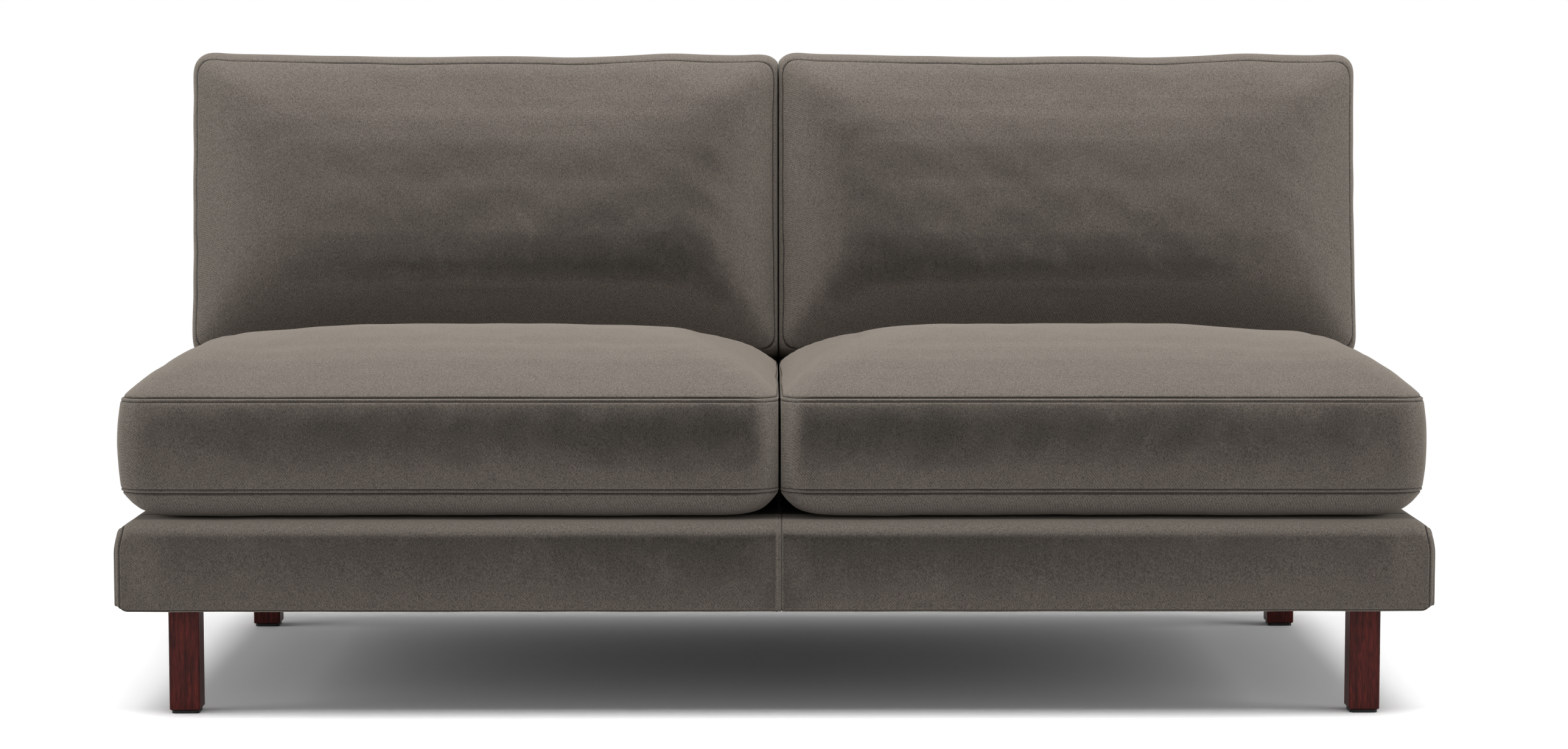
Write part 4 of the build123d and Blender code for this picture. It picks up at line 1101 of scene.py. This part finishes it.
# ---------------------------------------------------------------- stage
class SOFA_OT_stage(bpy.types.Operator):
    """Set up the camera, the pale floor and the soft studio light"""

    bl_idname = "sofa.stage"
    bl_label = "Stage"

    SOFTBOXES = (  # name, place and size
        ("top_light", (0, -0.8, 3.0), (4.4, 2.8)),
        ("front_light", (0, -5.0, 2.0), (4.4, 1.6)),
        ("left_light", (-4.0, -0.4, 1.5), (2.4, 1.6)),
        ("right_light", (4.0, -0.4, 1.5), (2.4, 1.6)),
    )
    AIM = Vector((0, 0, 0.45))  # the middle of the sofa, which the softboxes face
    PAPER, PAPER_SEEN = 0.8, 1.22  # how pale the floor is, and how pale the camera sees it
    HAZE = 0.012  # light that the camera sees over the deepest shadow
    WHITE_FROM, WHITE_AT = 1.4, 2.2  # distance from the sofa over which the floor turns white

    def execute(self, context):
        settings = context.scene.sofa_stage
        bpy.ops.object.select_all(action="DESELECT")
        bpy.ops.object.camera_add(
            location=(-settings.aside, -settings.distance, settings.height),
            rotation=(math.pi / 2 - settings.pitch, 0, -settings.yaw),
        )
        camera = context.object
        camera.name = "camera"
        camera.data.lens = settings.lens
        camera.data.sensor_width = 36
        camera.data.clip_end = 100
        context.scene.camera = camera
        context.scene.view_settings.view_transform = "Standard"

        bpy.ops.mesh.primitive_plane_add(size=60, location=(0, 0, 0))
        floor = context.object
        floor.name = "floor"
        floor.data.materials.append(self.seamless_paper())

        for name, place, size in self.SOFTBOXES:
            turn = (self.AIM - Vector(place)).to_track_quat("-Z", "Y").to_euler()
            bpy.ops.object.light_add(type="AREA", location=place, rotation=turn)
            lamp = context.object
            lamp.name = name
            lamp.data.shape = "RECTANGLE"
            lamp.data.size, lamp.data.size_y = size
            lamp.data.energy = getattr(settings, name)
        self.world(settings.ambient)
        return {"FINISHED"}

    def seamless_paper(self):
        """Pale seamless paper; to the camera it is bright enough to be white away from the shadow."""
        material, tree, place = new_material("seamless_paper")
        tree.nodes.remove(tree.nodes["Principled BSDF"])
        away = add_node(tree, "VectorMath", {0: place}, "Value", operation="LENGTH")
        fading = {"Value": away, "From Min": self.WHITE_FROM, "From Max": self.WHITE_AT}
        camera = add_node(tree, "LightPath", {}, "Is Camera Ray")
        plain, seen = (
            add_node(tree, "BsdfDiffuse", {"Color": (pale, pale, pale, 1)})
            for pale in (self.PAPER, self.PAPER_SEEN)
        )
        haze, white = (add_node(tree, "Emission", {"Strength": light}) for light in (self.HAZE, 1.0))
        seen = add_node(tree, "AddShader", {0: seen, 1: haze})
        seen = add_node(tree, "MixShader", {0: add_node(tree, "MapRange", fading), 1: seen, 2: white})
        seen = add_node(tree, "MixShader", {0: camera, 1: plain, 2: seen})
        tree.links.new(seen, tree.nodes["Material Output"].inputs["Surface"])
        return material

    def world(self, ambient):
        """Even light all round, and plain white behind everything."""
        world = bpy.data.worlds.new("studio")
        bpy.context.scene.world = world
        world.use_nodes = True
        tree = world.node_tree
        seen = 0.0
        for ray in ("Is Camera Ray", "Is Glossy Ray", "Is Transmission Ray"):
            other = add_node(tree, "LightPath", {}, ray)
            seen = add_node(tree, "Math", {0: seen, 1: other}, operation="MAXIMUM")
        strength = add_node(tree, "MapRange", {"Value": seen, "To Min": ambient, "To Max": 1.0})
        set_inputs(tree.nodes["Background"], {"Color": (1, 1, 1, 1), "Strength": strength})


# ---------------------------------------------------------------- add-on
class SOFA_PT_sidebar(bpy.types.Panel):
    """The sofa's pieces, one button each"""

    bl_idname = "SOFA_PT_sidebar"
    bl_label = "Armless sofa"
    bl_space_type = "VIEW_3D"
    bl_region_type = "UI"
    bl_category = "Sofa"

    def draw(self, context):
        for operator in OPERATORS:
            self.layout.operator(operator.bl_idname)


SETTINGS = {
    "sofa_stage": StageSettings,
    "sofa_cushions": CushionSettings,
    "sofa_panels": PanelSettings,
    "sofa_finish": FinishSettings,
}
OPERATORS = (
    SOFA_OT_stage,
    SOFA_OT_woodwork,
    SOFA_OT_hardware,
    SOFA_OT_base_panels,
    SOFA_OT_fixed_back,
    SOFA_OT_linings,
    SOFA_OT_seat_cushions,
    SOFA_OT_back_cushions,
)


def register():
    """Register the classes, and hang the settings on the scene."""
    for cls in (*SETTINGS.values(), *OPERATORS, SOFA_PT_sidebar):
        bpy.utils.register_class(cls)
    for name, group in SETTINGS.items():
        setattr(bpy.types.Scene, name, PointerProperty(type=group))


def unregister():
    """Take the settings and the classes away again."""
    for name in SETTINGS:
        delattr(bpy.types.Scene, name)
    for cls in (SOFA_PT_sidebar, *reversed(OPERATORS), *reversed(SETTINGS.values())):
        bpy.utils.unregister_class(cls)


def main():
    """Build the sofa's looks from start to end."""
    register()
    bpy.ops.sofa.stage()
    bpy.ops.sofa.woodwork()
    bpy.ops.sofa.hardware()
    bpy.ops.sofa.base_panels()
    bpy.ops.sofa.fixed_back()
    bpy.ops.sofa.linings()
    bpy.ops.sofa.seat_cushions()
    bpy.ops.sofa.back_cushions()


if __name__ == "__main__":
    main()
